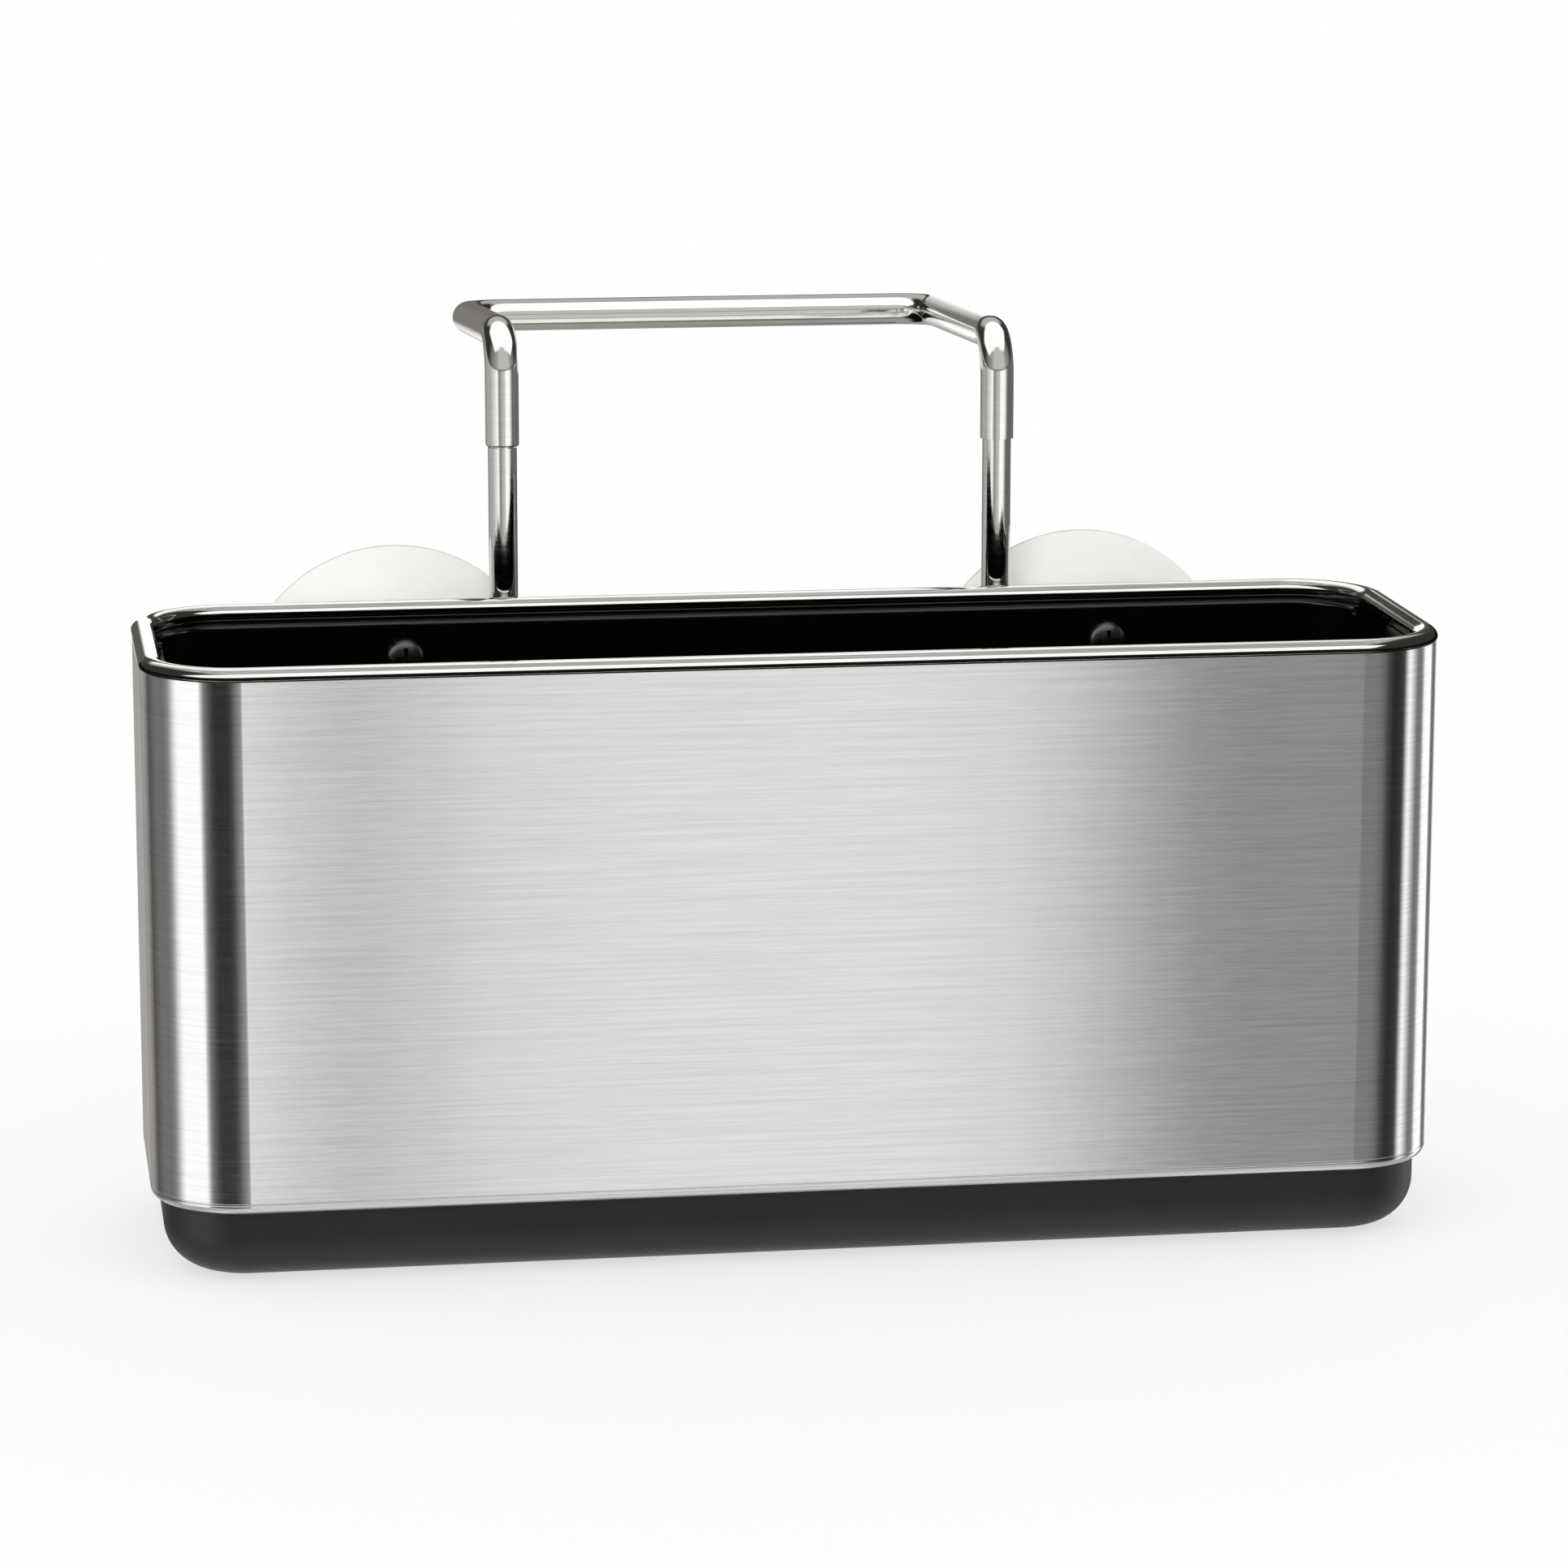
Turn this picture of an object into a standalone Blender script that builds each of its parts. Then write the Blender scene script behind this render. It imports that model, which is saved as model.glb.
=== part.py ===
"""Sink caddy: a brushed steel sleeve round a moulded tub, with a sliding wire hook and two suction cups.

Metres, +Z up, front towards -Y. The origin is the centre of the flat underside of the base.
"""

import math

import bmesh
import bpy
from mathutils import Matrix, Vector

# Body, as seen in plan
BODY_WIDTH = 0.250
BODY_DEPTH = 0.075
BODY_CORNER = 0.0185
CLEARANCE = 0.0003
CUT_OVERRUN = 0.002

# Base tray, the black foot that shows below the steel
BASE_DROP = 0.014
BASE_INSET = 0.0023
BASE_FILLET = 0.0091
BASE_WALL = 0.002
BASE_TUCK = 0.005

# Sleeve, one band of sheet with its lower edge curled in
SLEEVE_HEIGHT = 0.1021
SLEEVE_SHEET = 0.0006
HEM_RADIUS = 0.0019

# Rim trim, a bead with a skirt inside the sleeve
RIM_WIDTH = 0.00466
RIM_PROUD = 0.00025
RIM_CROWN = 0.00143
RIM_WAIST = 0.0010
RIM_INNER_EASE = 0.0007
SKIRT_SHEET = 0.0006
SKIRT_DROP = 0.0029

# Liner, the tub inside the sleeve
LINER_BELOW_RIM = 0.0012
LINER_INSET = 0.0057
LINER_WALL = 0.002
LINER_DRAFT = 0.001
LINER_EDGE = 0.0009
LINER_LIP_FLAT = 0.00045
LINER_LEDGE = 0.002
LINER_FLOOR_Z = 0.009
LINER_FLOOR = 0.002
LINER_FILLET = 0.004
END_DIP_DEPTH = 0.0016
END_DIP_LENGTH = 0.042

# Drain slots in the tub floor and in the tray. A slot's ends are almost half circles
SLOT_END_SHARE = 0.499
DRAIN_SLOT_WIDTH = 0.003
DRAIN_SLOT_MARGIN = 0.018
DRAIN_PITCH = 0.0155
DRAIN_END_MARGIN = 0.024
TRAY_SLOT_WIDTH = 0.004
TRAY_SLOT_LENGTH = 0.022
TRAY_SLOT_PITCH = 0.034

# Pan-head screws: those through the back, then those under the tray
BACK_HEAD_WIDTH = 0.0074
BACK_HEAD_HEIGHT = 0.0026
BACK_SHANK = 0.0034
BACK_SHANK_LENGTH = 0.0125
BASE_HEAD_WIDTH = 0.006
BASE_HEAD_HEIGHT = 0.0019
BASE_SHANK = 0.0026
BASE_SHANK_LENGTH = 0.0068
SCREW_TIP = 0.0012
RECESS_ARM_SHARE = 0.30
RECESS_WIDTH_SHARE = 0.11
RECESS_DEPTH_SHARE = 0.55

# Bosses that the screws pass through or bite into
BACK_BOSS = 0.009
BASE_BOSS = 0.0085
BASE_SCREW_END_MARGIN = 0.037
BASE_SCREW_SIDE_MARGIN = 0.0215
BASE_HEAD_RECESS = 0.0023
TRAY_BOSS_RISE = 0.002
PILOT_WALL = 0.0012

# Hook: a tube loop plugged onto the legs of a bent rod
HOOK_SPACING = 0.1002
HOOK_BEHIND = 0.005
HOOK_REACH = 0.0775
LOOP_TUBE = 0.0067
LOOP_TUBE_WALL = 0.0006
LOOP_END_ABOVE_TOP = 0.0322
LOOP_RISE = 0.0225
LOOP_LEAN = 0.0055
LOOP_BEND = 0.008
LOOP_END_EASE = 0.0005
STEM_ROD = 0.0058
STEM_PLUG_LENGTH = 0.011
STEM_LENGTH = 0.1108
STEM_BEND = 0.009
PLUG_CHAMFER = 0.0006

# Brackets on the back, each guiding one leg and holding one cup
BRACKET_DEPTH = 0.010
BRACKET_BELOW_TOP = 0.0021
BRACKET_HEIGHT = 0.039
BRACKET_OUTER_MARGIN = 0.0185
BRACKET_LEG_WALL = 0.003
BRACKET_CORNER = 0.008
BRACKET_EASE = 0.0025
BRACKET_PLATE = 0.0022
BRACKET_SIDE = 0.0022
PAD_THICKNESS = 0.0015
PAD_MARGIN = 0.002
SCREW_SPAN = 0.027

# Suction cups
CUP_SPACING = 0.1418
CUP_BELOW_TOP = 0.0216
CUP_RADIUS = 0.0324
CUP_FACE_GAP = 0.0022
CUP_DEPTH = 0.010
CUP_LIP = 0.0012
CUP_SEAL = 0.003
CUP_WEB = 0.003
CUP_HUB = 0.009
CUP_NECK = 0.0062
NUB_WIDTH = 0.0094
NUB_HEIGHT = 0.003

# Sponge rack, a slotted deck on two legs
RACK_DECK_BELOW_TOP = 0.0311
RACK_WALL = 0.002
RACK_LEFT_X = 0.0055
RACK_END_GAP = 0.0026
RACK_HEAD_GAP = 0.0004
RACK_BEND = 0.008
RACK_UPSTAND = 0.010
RACK_CORNER = 0.011
RACK_FOOT_EASE = 0.007
DECK_SLOT_WIDTH = 0.005
DECK_SLOT_MARGIN = 0.0075
DECK_PITCH = 0.0125
LEG_WINDOW_WIDTH = 0.030
LEG_WINDOW_CORNER = 0.006
LEG_WINDOW_MARGIN = 0.011

# How finely round shapes are divided
CORNER_STEPS = 7
CURL_STEPS = 4
FILLET_STEPS = 4
BEND_STEPS = 5
TUBE_SIDES = 16
ROD_SIDES = 12
SCREW_SIDES = 12
DOME_STEPS = 3
SLOT_STEPS = 3
CROWN_STEPS = 6
BELL_STEPS = 5
HOLE_SIDES = 12
CUP_SIDES = 28
SMOOTH_ANGLE = math.radians(35)

# Places worked out from the sizes above
SLEEVE_TOP_Z = BASE_DROP + SLEEVE_HEIGHT
RIM_BOTTOM_Z = SLEEVE_TOP_Z + CLEARANCE
RIM_WIDEST_Z = RIM_BOTTOM_Z + RIM_WAIST
RIM_TOP_Z = RIM_WIDEST_Z + RIM_CROWN
RIM_INNER_INSET = RIM_WIDTH - RIM_PROUD
SKIRT_OUTER_INSET = SLEEVE_SHEET + CLEARANCE
SKIRT_INNER_INSET = SKIRT_OUTER_INSET + SKIRT_SHEET
LINER_TOP_Z = RIM_BOTTOM_Z - LINER_BELOW_RIM
LINER_STEP_Z = RIM_BOTTOM_Z - CLEARANCE
LINER_STEP_INSET = LINER_INSET - LINER_EDGE - LINER_LIP_FLAT
LINER_LEDGE_Z = RIM_BOTTOM_Z - SKIRT_DROP - CLEARANCE
LINER_LEDGE_UNDER_Z = LINER_LEDGE_Z - LINER_LEDGE
FLOOR_TOP_Z = LINER_FLOOR_Z + LINER_FLOOR
TUB_DEPTH = BODY_DEPTH - 2 * (LINER_INSET + LINER_DRAFT)
TUB_WIDTH = BODY_WIDTH - 2 * (LINER_INSET + LINER_DRAFT)
BACK_Y = BODY_DEPTH / 2
HOOK_Y = BACK_Y + HOOK_BEHIND
HOOK_X = HOOK_SPACING / 2
LOOP_END_Z = SLEEVE_TOP_Z + LOOP_END_ABOVE_TOP
LOOP_FRONT_Z = LOOP_END_Z + LOOP_RISE
LOOP_REAR_Z = LOOP_FRONT_Z - LOOP_LEAN
STEM_BAR_Z = LOOP_END_Z - STEM_LENGTH
CUP_X = CUP_SPACING / 2
CUP_Z = SLEEVE_TOP_Z - CUP_BELOW_TOP
BRACKET_TOP_Z = SLEEVE_TOP_Z - BRACKET_BELOW_TOP
BRACKET_BOTTOM_Z = BRACKET_TOP_Z - BRACKET_HEIGHT
BRACKET_FRONT_Y = BACK_Y + CLEARANCE
BRACKET_BACK_Y = BRACKET_FRONT_Y + BRACKET_DEPTH
BRACKET_MID_Z = (BRACKET_TOP_Z + BRACKET_BOTTOM_Z) / 2
SCREW_HIGH_Z = CUP_Z + SCREW_SPAN / 2
SCREW_LOW_Z = CUP_Z - SCREW_SPAN / 2
BASE_SCREW_X = BODY_WIDTH / 2 - BASE_SCREW_END_MARGIN
BASE_SCREW_Y = BODY_DEPTH / 2 - BASE_SCREW_SIDE_MARGIN
BASE_BOSS_DROP = LINER_FLOOR_Z - BASE_WALL - TRAY_BOSS_RISE - CLEARANCE
RACK_DECK_Z = SLEEVE_TOP_Z - RACK_DECK_BELOW_TOP
RACK_RIGHT_X = TUB_WIDTH / 2 - RACK_END_GAP
RACK_DEPTH = TUB_DEPTH - 2 * (BACK_HEAD_HEIGHT + CLEARANCE + RACK_HEAD_GAP)
SIDES = (("left", -1), ("right", 1))


def clear_scene():
    for thing in list(bpy.data.objects):
        bpy.data.objects.remove(thing, do_unlink=True)


def finish_colour(hex_colour):
    """A Principled base colour, in linear light, from an sRGB hex value."""
    channels = []
    for place in (0, 2, 4):
        value = int(hex_colour[place:place + 2], 16) / 255
        if value <= 0.04045:
            channels.append(value / 12.92)
        else:
            channels.append(((value + 0.055) / 1.055) ** 2.4)
    return (*channels, 1.0)


def make_finish(name, hex_colour, roughness, metallic=0.0, transmission=0.0):
    finish = bpy.data.materials.new(name)
    finish.use_nodes = True
    shader = finish.node_tree.nodes["Principled BSDF"]
    shader.inputs["Base Color"].default_value = finish_colour(hex_colour)
    shader.inputs["Roughness"].default_value = roughness
    shader.inputs["Metallic"].default_value = metallic
    shader.inputs["Transmission Weight"].default_value = transmission
    finish.diffuse_color = finish_colour(hex_colour)
    return finish


def place_mesh(name, shape, finish=None, origin=(0, 0, 0)):
    """An object from a bmesh whose points are in world space, with its origin where it is asked for."""
    bmesh.ops.recalc_face_normals(shape, faces=shape.faces[:])
    bmesh.ops.translate(shape, verts=shape.verts[:], vec=-Vector(origin))
    mesh = bpy.data.meshes.new(name)
    shape.to_mesh(mesh)
    shape.free()
    thing = bpy.data.objects.new(name, mesh)
    thing.location = origin
    bpy.context.scene.collection.objects.link(thing)
    if finish:
        mesh.materials.append(finish)
        mesh.shade_smooth()
        mesh.set_sharp_from_angle(angle=SMOOTH_ANGLE)
    return thing


def as_cutter(name, shape):
    cutter = place_mesh(name, shape)
    cutter.hide_render = True
    cutter.display_type = "WIRE"
    return cutter


def combine(thing, helper, operation):
    step = thing.modifiers.new(helper.name, "BOOLEAN")
    step.operation = operation
    step.object = helper
    step.solver = "EXACT"


def arc(centre, radius, start, end, steps):
    """Points along an arc in a plane, both ends included; angles in degrees."""
    points = []
    for step in range(steps + 1):
        angle = math.radians(start + (end - start) * step / steps)
        points.append((centre[0] + radius * math.cos(angle), centre[1] + radius * math.sin(angle)))
    return points


def rounded(width, depth, corner, steps=CORNER_STEPS):
    """A rectangle about the origin with round corners, anticlockwise from the front right."""
    across = width / 2 - corner
    along = depth / 2 - corner
    points = []
    for turn, (x, y) in enumerate(((across, -along), (across, along), (-across, along), (-across, -along))):
        points += arc((x, y), corner, 90 * turn - 90, 90 * turn, steps)
    return points


def body_ring(inset, z):
    """The body's outline in plan, moved in by an inset, at a height."""
    outline = rounded(BODY_WIDTH - 2 * inset, BODY_DEPTH - 2 * inset, BODY_CORNER - inset)
    return [Vector((x, y, z)) for x, y in outline]


def loft(loops, joined=False):
    """A skin over loops of points, capped at both ends, or joined from the last loop to the first."""
    shape = bmesh.new()
    rings = [[shape.verts.new(point) for point in loop] for loop in loops]
    pairs = list(zip(rings, rings[1:]))
    if joined:
        pairs.append((rings[-1], rings[0]))
    for first, second in pairs:
        for place in range(len(first)):
            shape.faces.new((first[place - 1], first[place], second[place], second[place - 1]))
    if not joined:
        for ring in (rings[0], rings[-1]):
            shape.faces.new(ring)
    return shape


def prism(outline, axis, low, high):
    """A flat outline carried from low to high along X, Y or Z. The outline is in the other two axes."""
    def at(first, second, level):
        place = {"X": (level, first, second), "Y": (first, level, second), "Z": (first, second, level)}
        return Vector(place[axis])
    return loft([[at(a, b, level) for a, b in outline] for level in (low, high)])


def circle(centre, width, steps=HOLE_SIDES):
    return arc(centre, width / 2, 0, 360, steps)[:-1]


def moved(outline, centre):
    return [(x + centre[0], y + centre[1]) for x, y in outline]


def block(low, high):
    """A plain box between two corners."""
    outline = [(low[0], low[1]), (high[0], low[1]), (high[0], high[1]), (low[0], high[1])]
    return prism(outline, "Z", low[2], high[2])


def spread(room, pitch):
    """Places at an even pitch about zero, as many as have a whole pitch in the room, an even number."""
    count = 2 * int(room / pitch / 2)
    return [pitch * (place - (count - 1) / 2) for place in range(count)]


def merged(shapes):
    """Several separate shapes in one bmesh."""
    whole = shapes[0]
    for shape in shapes[1:]:
        mesh = bpy.data.meshes.new("part")
        shape.to_mesh(mesh)
        shape.free()
        whole.from_mesh(mesh)
        bpy.data.meshes.remove(mesh)
    return whole


def turned(profile, steps):
    """A profile of (radius, height) points, on the axis at both ends, turned about Z."""
    shape = bmesh.new()
    corners = [shape.verts.new((radius, 0, height)) for radius, height in profile]
    edges = [shape.edges.new(pair) for pair in zip(corners, corners[1:])]
    bmesh.ops.spin(
        shape, geom=corners + edges, cent=(0, 0, 0), axis=(0, 0, 1),
        angle=math.tau, steps=steps, use_merge=True,
    )
    near = CLEARANCE / 100
    bmesh.ops.remove_doubles(shape, verts=shape.verts[:], dist=near)
    return shape


def stations(corners, bends):
    """Points and directions along a path of straight runs whose inner corners are arcs of a bend radius."""
    path = [(corners[0], (corners[1] - corners[0]).normalized())]
    for before, corner, after in zip(corners, corners[1:], corners[2:]):
        inward = (corner - before).normalized()
        outward = (after - corner).normalized()
        turn = inward.angle(outward)
        setback = bends * math.tan(turn / 2)
        start = corner - inward * setback
        axis = inward.cross(outward).normalized()
        centre = start + axis.cross(inward) * bends
        for step in range(BEND_STEPS + 1):
            swing = Matrix.Rotation(turn * step / BEND_STEPS, 3, axis)
            path.append((centre + swing @ (start - centre), swing @ inward))
    path.append((corners[-1], (corners[-1] - corners[-2]).normalized()))
    return path


def tube_loops(path, radii, sides):
    """A circle of points round each station of a path, carried along it without twisting."""
    side = path[0][1].orthogonal().normalized()
    loops = []
    for (place, direction), radius in zip(path, radii):
        side = (side - direction * side.dot(direction)).normalized()
        up = direction.cross(side)
        loops.append([
            place + side * (radius * math.cos(math.tau * step / sides))
            + up * (radius * math.sin(math.tau * step / sides))
            for step in range(sides)
        ])
    return loops


def liner_inset(z):
    """How far the tub's inner face lies inside the body's outline at a height: it drafts in downwards."""
    return LINER_INSET + LINER_DRAFT * (LINER_TOP_Z - z) / (LINER_TOP_Z - FLOOR_TOP_Z)


def make_sleeve(finish):
    curl = arc((HEM_RADIUS, HEM_RADIUS), HEM_RADIUS, 180, 270, CURL_STEPS)
    lining = arc((HEM_RADIUS, HEM_RADIUS), HEM_RADIUS - SLEEVE_SHEET, 270, 180, CURL_STEPS)
    section = [(0, SLEEVE_HEIGHT)] + curl + lining + [(SLEEVE_SHEET, SLEEVE_HEIGHT)]
    sleeve = place_mesh(
        "sleeve", loft([body_ring(inset, BASE_DROP + z) for inset, z in section], joined=True), finish,
    )
    holes = [
        prism(
            circle((side * CUP_X, z), BACK_SHANK + 4 * CLEARANCE), "Y",
            BACK_Y - SLEEVE_SHEET - CUT_OVERRUN, BACK_Y + CUT_OVERRUN,
        )
        for _, side in SIDES for z in (SCREW_LOW_Z, SCREW_HIGH_Z)
    ]
    combine(sleeve, as_cutter("sleeve_holes", merged(holes)), "DIFFERENCE")


def make_rim(finish):
    middle = RIM_WIDTH / 2 - RIM_PROUD
    crown = [
        (middle - RIM_WIDTH / 2 * math.cos(angle), RIM_WIDEST_Z + RIM_CROWN * math.sin(angle))
        for angle in (math.pi * step / CROWN_STEPS for step in range(CROWN_STEPS + 1))
    ]
    half_way = RIM_BOTTOM_Z + RIM_WAIST / 3
    section = [(0, RIM_BOTTOM_Z), (-2 * RIM_PROUD / 3, half_way)] + crown
    section += [(RIM_INNER_INSET - RIM_INNER_EASE / 4, half_way), (RIM_INNER_INSET - RIM_INNER_EASE, RIM_BOTTOM_Z)]
    section += [(SKIRT_INNER_INSET, RIM_BOTTOM_Z), (SKIRT_INNER_INSET, RIM_BOTTOM_Z - SKIRT_DROP)]
    section += [(SKIRT_OUTER_INSET, RIM_BOTTOM_Z - SKIRT_DROP), (SKIRT_OUTER_INSET, RIM_BOTTOM_Z)]
    place_mesh("rim_trim", loft([body_ring(inset, z) for inset, z in section], joined=True), finish)


def make_liner(finish):
    outer_top = LINER_INSET - LINER_WALL
    outer_low = outer_top + LINER_DRAFT
    flange = SKIRT_INNER_INSET + CLEARANCE
    under = LINER_FILLET - LINER_FLOOR
    outside = [(outer_low + LINER_FILLET - x, LINER_FLOOR_Z + LINER_FILLET - y) for x, y in
               arc((0, 0), LINER_FILLET, 90, 0, FILLET_STEPS)]
    rim = [
        (outer_top, LINER_LEDGE_UNDER_Z), (SKIRT_OUTER_INSET, LINER_LEDGE_UNDER_Z),
        (SKIRT_OUTER_INSET, LINER_LEDGE_Z), (flange, LINER_LEDGE_Z), (flange, LINER_STEP_Z),
        (LINER_STEP_INSET, LINER_STEP_Z), (LINER_STEP_INSET, LINER_TOP_Z),
    ]
    lip = [(LINER_INSET - LINER_EDGE + x, LINER_TOP_Z - LINER_EDGE + y) for x, y in
           arc((0, 0), LINER_EDGE, 90, 0, FILLET_STEPS)]
    low_inset = liner_inset(FLOOR_TOP_Z)
    inside = [(low_inset + under - x, FLOOR_TOP_Z + under - y) for x, y in
              arc((0, 0), under, 0, 90, FILLET_STEPS)]
    section = outside + rim + lip + inside
    liner = place_mesh("liner", loft([body_ring(inset, z) for inset, z in section]), finish)

    bosses = []
    for _, side in SIDES:
        for z in (SCREW_LOW_Z, SCREW_HIGH_Z):
            bosses.append(prism(
                circle((side * CUP_X, z), BACK_BOSS), "Y",
                BACK_Y - liner_inset(z) + LINER_WALL / 2, BACK_Y - SKIRT_OUTER_INSET,
            ))
        for front in (-1, 1):
            bosses.append(prism(
                circle((side * BASE_SCREW_X, front * BASE_SCREW_Y), BASE_BOSS), "Z",
                LINER_FLOOR_Z - BASE_BOSS_DROP, LINER_FLOOR_Z + LINER_FLOOR / 2,
            ))
    combine(liner, as_cutter("liner_bosses", merged(bosses)), "UNION")

    cuts = []
    for _, side in SIDES:
        for z in (SCREW_LOW_Z, SCREW_HIGH_Z):
            cuts.append(prism(
                circle((side * CUP_X, z), BACK_SHANK + 2 * CLEARANCE), "Y",
                BACK_Y - liner_inset(z) - CUT_OVERRUN, BACK_Y + CUT_OVERRUN,
            ))
        for front in (-1, 1):
            cuts.append(prism(
                circle((side * BASE_SCREW_X, front * BASE_SCREW_Y), BASE_SHANK + 2 * CLEARANCE), "Z",
                LINER_FLOOR_Z - BASE_BOSS_DROP - CUT_OVERRUN, FLOOR_TOP_Z - PILOT_WALL,
            ))
        dip_x = sorted((side * (BODY_WIDTH / 2 - flange + CUT_OVERRUN), side * (BODY_WIDTH / 2 - LINER_INSET - CUT_OVERRUN)))
        cuts.append(block(
            (dip_x[0], -END_DIP_LENGTH / 2, LINER_TOP_Z - END_DIP_DEPTH),
            (dip_x[1], END_DIP_LENGTH / 2, LINER_TOP_Z + CUT_OVERRUN),
        ))
    length = TUB_DEPTH - 2 * DRAIN_SLOT_MARGIN
    slot = rounded(DRAIN_SLOT_WIDTH, length, DRAIN_SLOT_WIDTH * SLOT_END_SHARE, SLOT_STEPS)
    for x in spread(TUB_WIDTH - 2 * DRAIN_END_MARGIN, DRAIN_PITCH):
        cuts.append(prism(moved(slot, (x, 0)), "Z", LINER_FLOOR_Z - CUT_OVERRUN, FLOOR_TOP_Z + CUT_OVERRUN))
    combine(liner, as_cutter("liner_cuts", merged(cuts)), "DIFFERENCE")


def make_base_tray(finish):
    inner_fillet = BASE_FILLET - BASE_WALL
    outside = [(BASE_INSET + BASE_FILLET - x, BASE_FILLET - y) for x, y in
               arc((0, 0), BASE_FILLET, 90, 0, FILLET_STEPS + 1)]
    top = BASE_DROP + BASE_TUCK
    edge = [(BASE_INSET, top), (BASE_INSET + BASE_WALL, top)]
    inside = [(BASE_INSET + BASE_FILLET - x, BASE_FILLET - y) for x, y in
              arc((0, 0), inner_fillet, 0, 90, FILLET_STEPS)]
    tray = place_mesh(
        "base_tray", loft([body_ring(inset, z) for inset, z in outside + edge + inside]), finish,
    )
    spots = [(side * BASE_SCREW_X, front * BASE_SCREW_Y) for _, side in SIDES for front in (-1, 1)]
    bosses = [
        prism(circle(spot, BASE_BOSS), "Z", BASE_WALL / 2, BASE_WALL + TRAY_BOSS_RISE) for spot in spots
    ]
    combine(tray, as_cutter("tray_bosses", merged(bosses)), "UNION")
    wide = BASE_HEAD_WIDTH + 4 * CLEARANCE
    narrow = BASE_SHANK + 4 * CLEARANCE
    step = (BASE_HEAD_RECESS + BASE_WALL + TRAY_BOSS_RISE) / 2
    recesses = [prism(circle(spot, wide), "Z", -CUT_OVERRUN, BASE_HEAD_RECESS) for spot in spots]
    combine(tray, as_cutter("tray_recesses", merged(recesses)), "DIFFERENCE")
    cuts = [
        prism(circle(spot, narrow), "Z", BASE_HEAD_RECESS - step / 4, BASE_WALL + TRAY_BOSS_RISE + CUT_OVERRUN)
        for spot in spots
    ]
    slot = rounded(TRAY_SLOT_LENGTH, TRAY_SLOT_WIDTH, TRAY_SLOT_WIDTH * SLOT_END_SHARE, SLOT_STEPS)
    for x in spread(TUB_WIDTH - 2 * BASE_FILLET, TRAY_SLOT_PITCH):
        cuts.append(prism(moved(slot, (x, 0)), "Z", -CUT_OVERRUN, BASE_WALL + CUT_OVERRUN))
    combine(tray, as_cutter("tray_cuts", merged(cuts)), "DIFFERENCE")


def make_screw(name, finish, seat, direction, head_width, head_height, shank, length):
    """A pan-head screw: its head sits on seat and its shank points along direction."""
    half = head_width / 2
    dome = [
        (half * math.sin(angle), -head_height / 2 - head_height / 2 * math.cos(angle))
        for angle in (math.pi / 2 * step / DOME_STEPS for step in range(DOME_STEPS + 1))
    ]
    profile = dome + [(half, 0), (shank / 2, 0), (shank / 2, length - SCREW_TIP), (shank / 6, length), (0, length)]
    turn = Vector((0, 0, 1)).rotation_difference(Vector(direction)).to_matrix().to_4x4()
    seated = Matrix.Translation(seat) @ turn
    shape = turned(profile, SCREW_SIDES)
    bmesh.ops.transform(shape, matrix=seated, verts=shape.verts[:])
    screw = place_mesh(name, shape, finish, seat)

    arm = head_width * RECESS_ARM_SHARE
    thin = head_width * RECESS_WIDTH_SHARE / 2
    deep = -head_height * (1 - RECESS_DEPTH_SHARE)
    cross = [
        (arm, -thin), (arm, thin), (thin, thin), (thin, arm), (-thin, arm), (-thin, thin),
        (-arm, thin), (-arm, -thin), (-thin, -thin), (-thin, -arm), (thin, -arm), (thin, -thin),
    ]
    recess = prism(cross, "Z", -head_height - CUT_OVERRUN, deep)
    bmesh.ops.transform(recess, matrix=seated, verts=recess.verts[:])
    combine(screw, as_cutter(name + "_recess", recess), "DIFFERENCE")


def make_screws(finish):
    for label, side in SIDES:
        for level, z in (("lower", SCREW_LOW_Z), ("upper", SCREW_HIGH_Z)):
            seat = (side * CUP_X, BACK_Y - liner_inset(z) - CLEARANCE, z)
            make_screw(
                f"back_screw_{label}_{level}", finish, seat, (0, 1, 0),
                BACK_HEAD_WIDTH, BACK_HEAD_HEIGHT, BACK_SHANK, BACK_SHANK_LENGTH,
            )
        for end, front in (("front", -1), ("rear", 1)):
            seat = (side * BASE_SCREW_X, front * BASE_SCREW_Y, BASE_HEAD_RECESS - CLEARANCE)
            make_screw(
                f"base_screw_{label}_{end}", finish, seat, (0, 0, 1),
                BASE_HEAD_WIDTH, BASE_HEAD_HEIGHT, BASE_SHANK, BASE_SHANK_LENGTH,
            )


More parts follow.
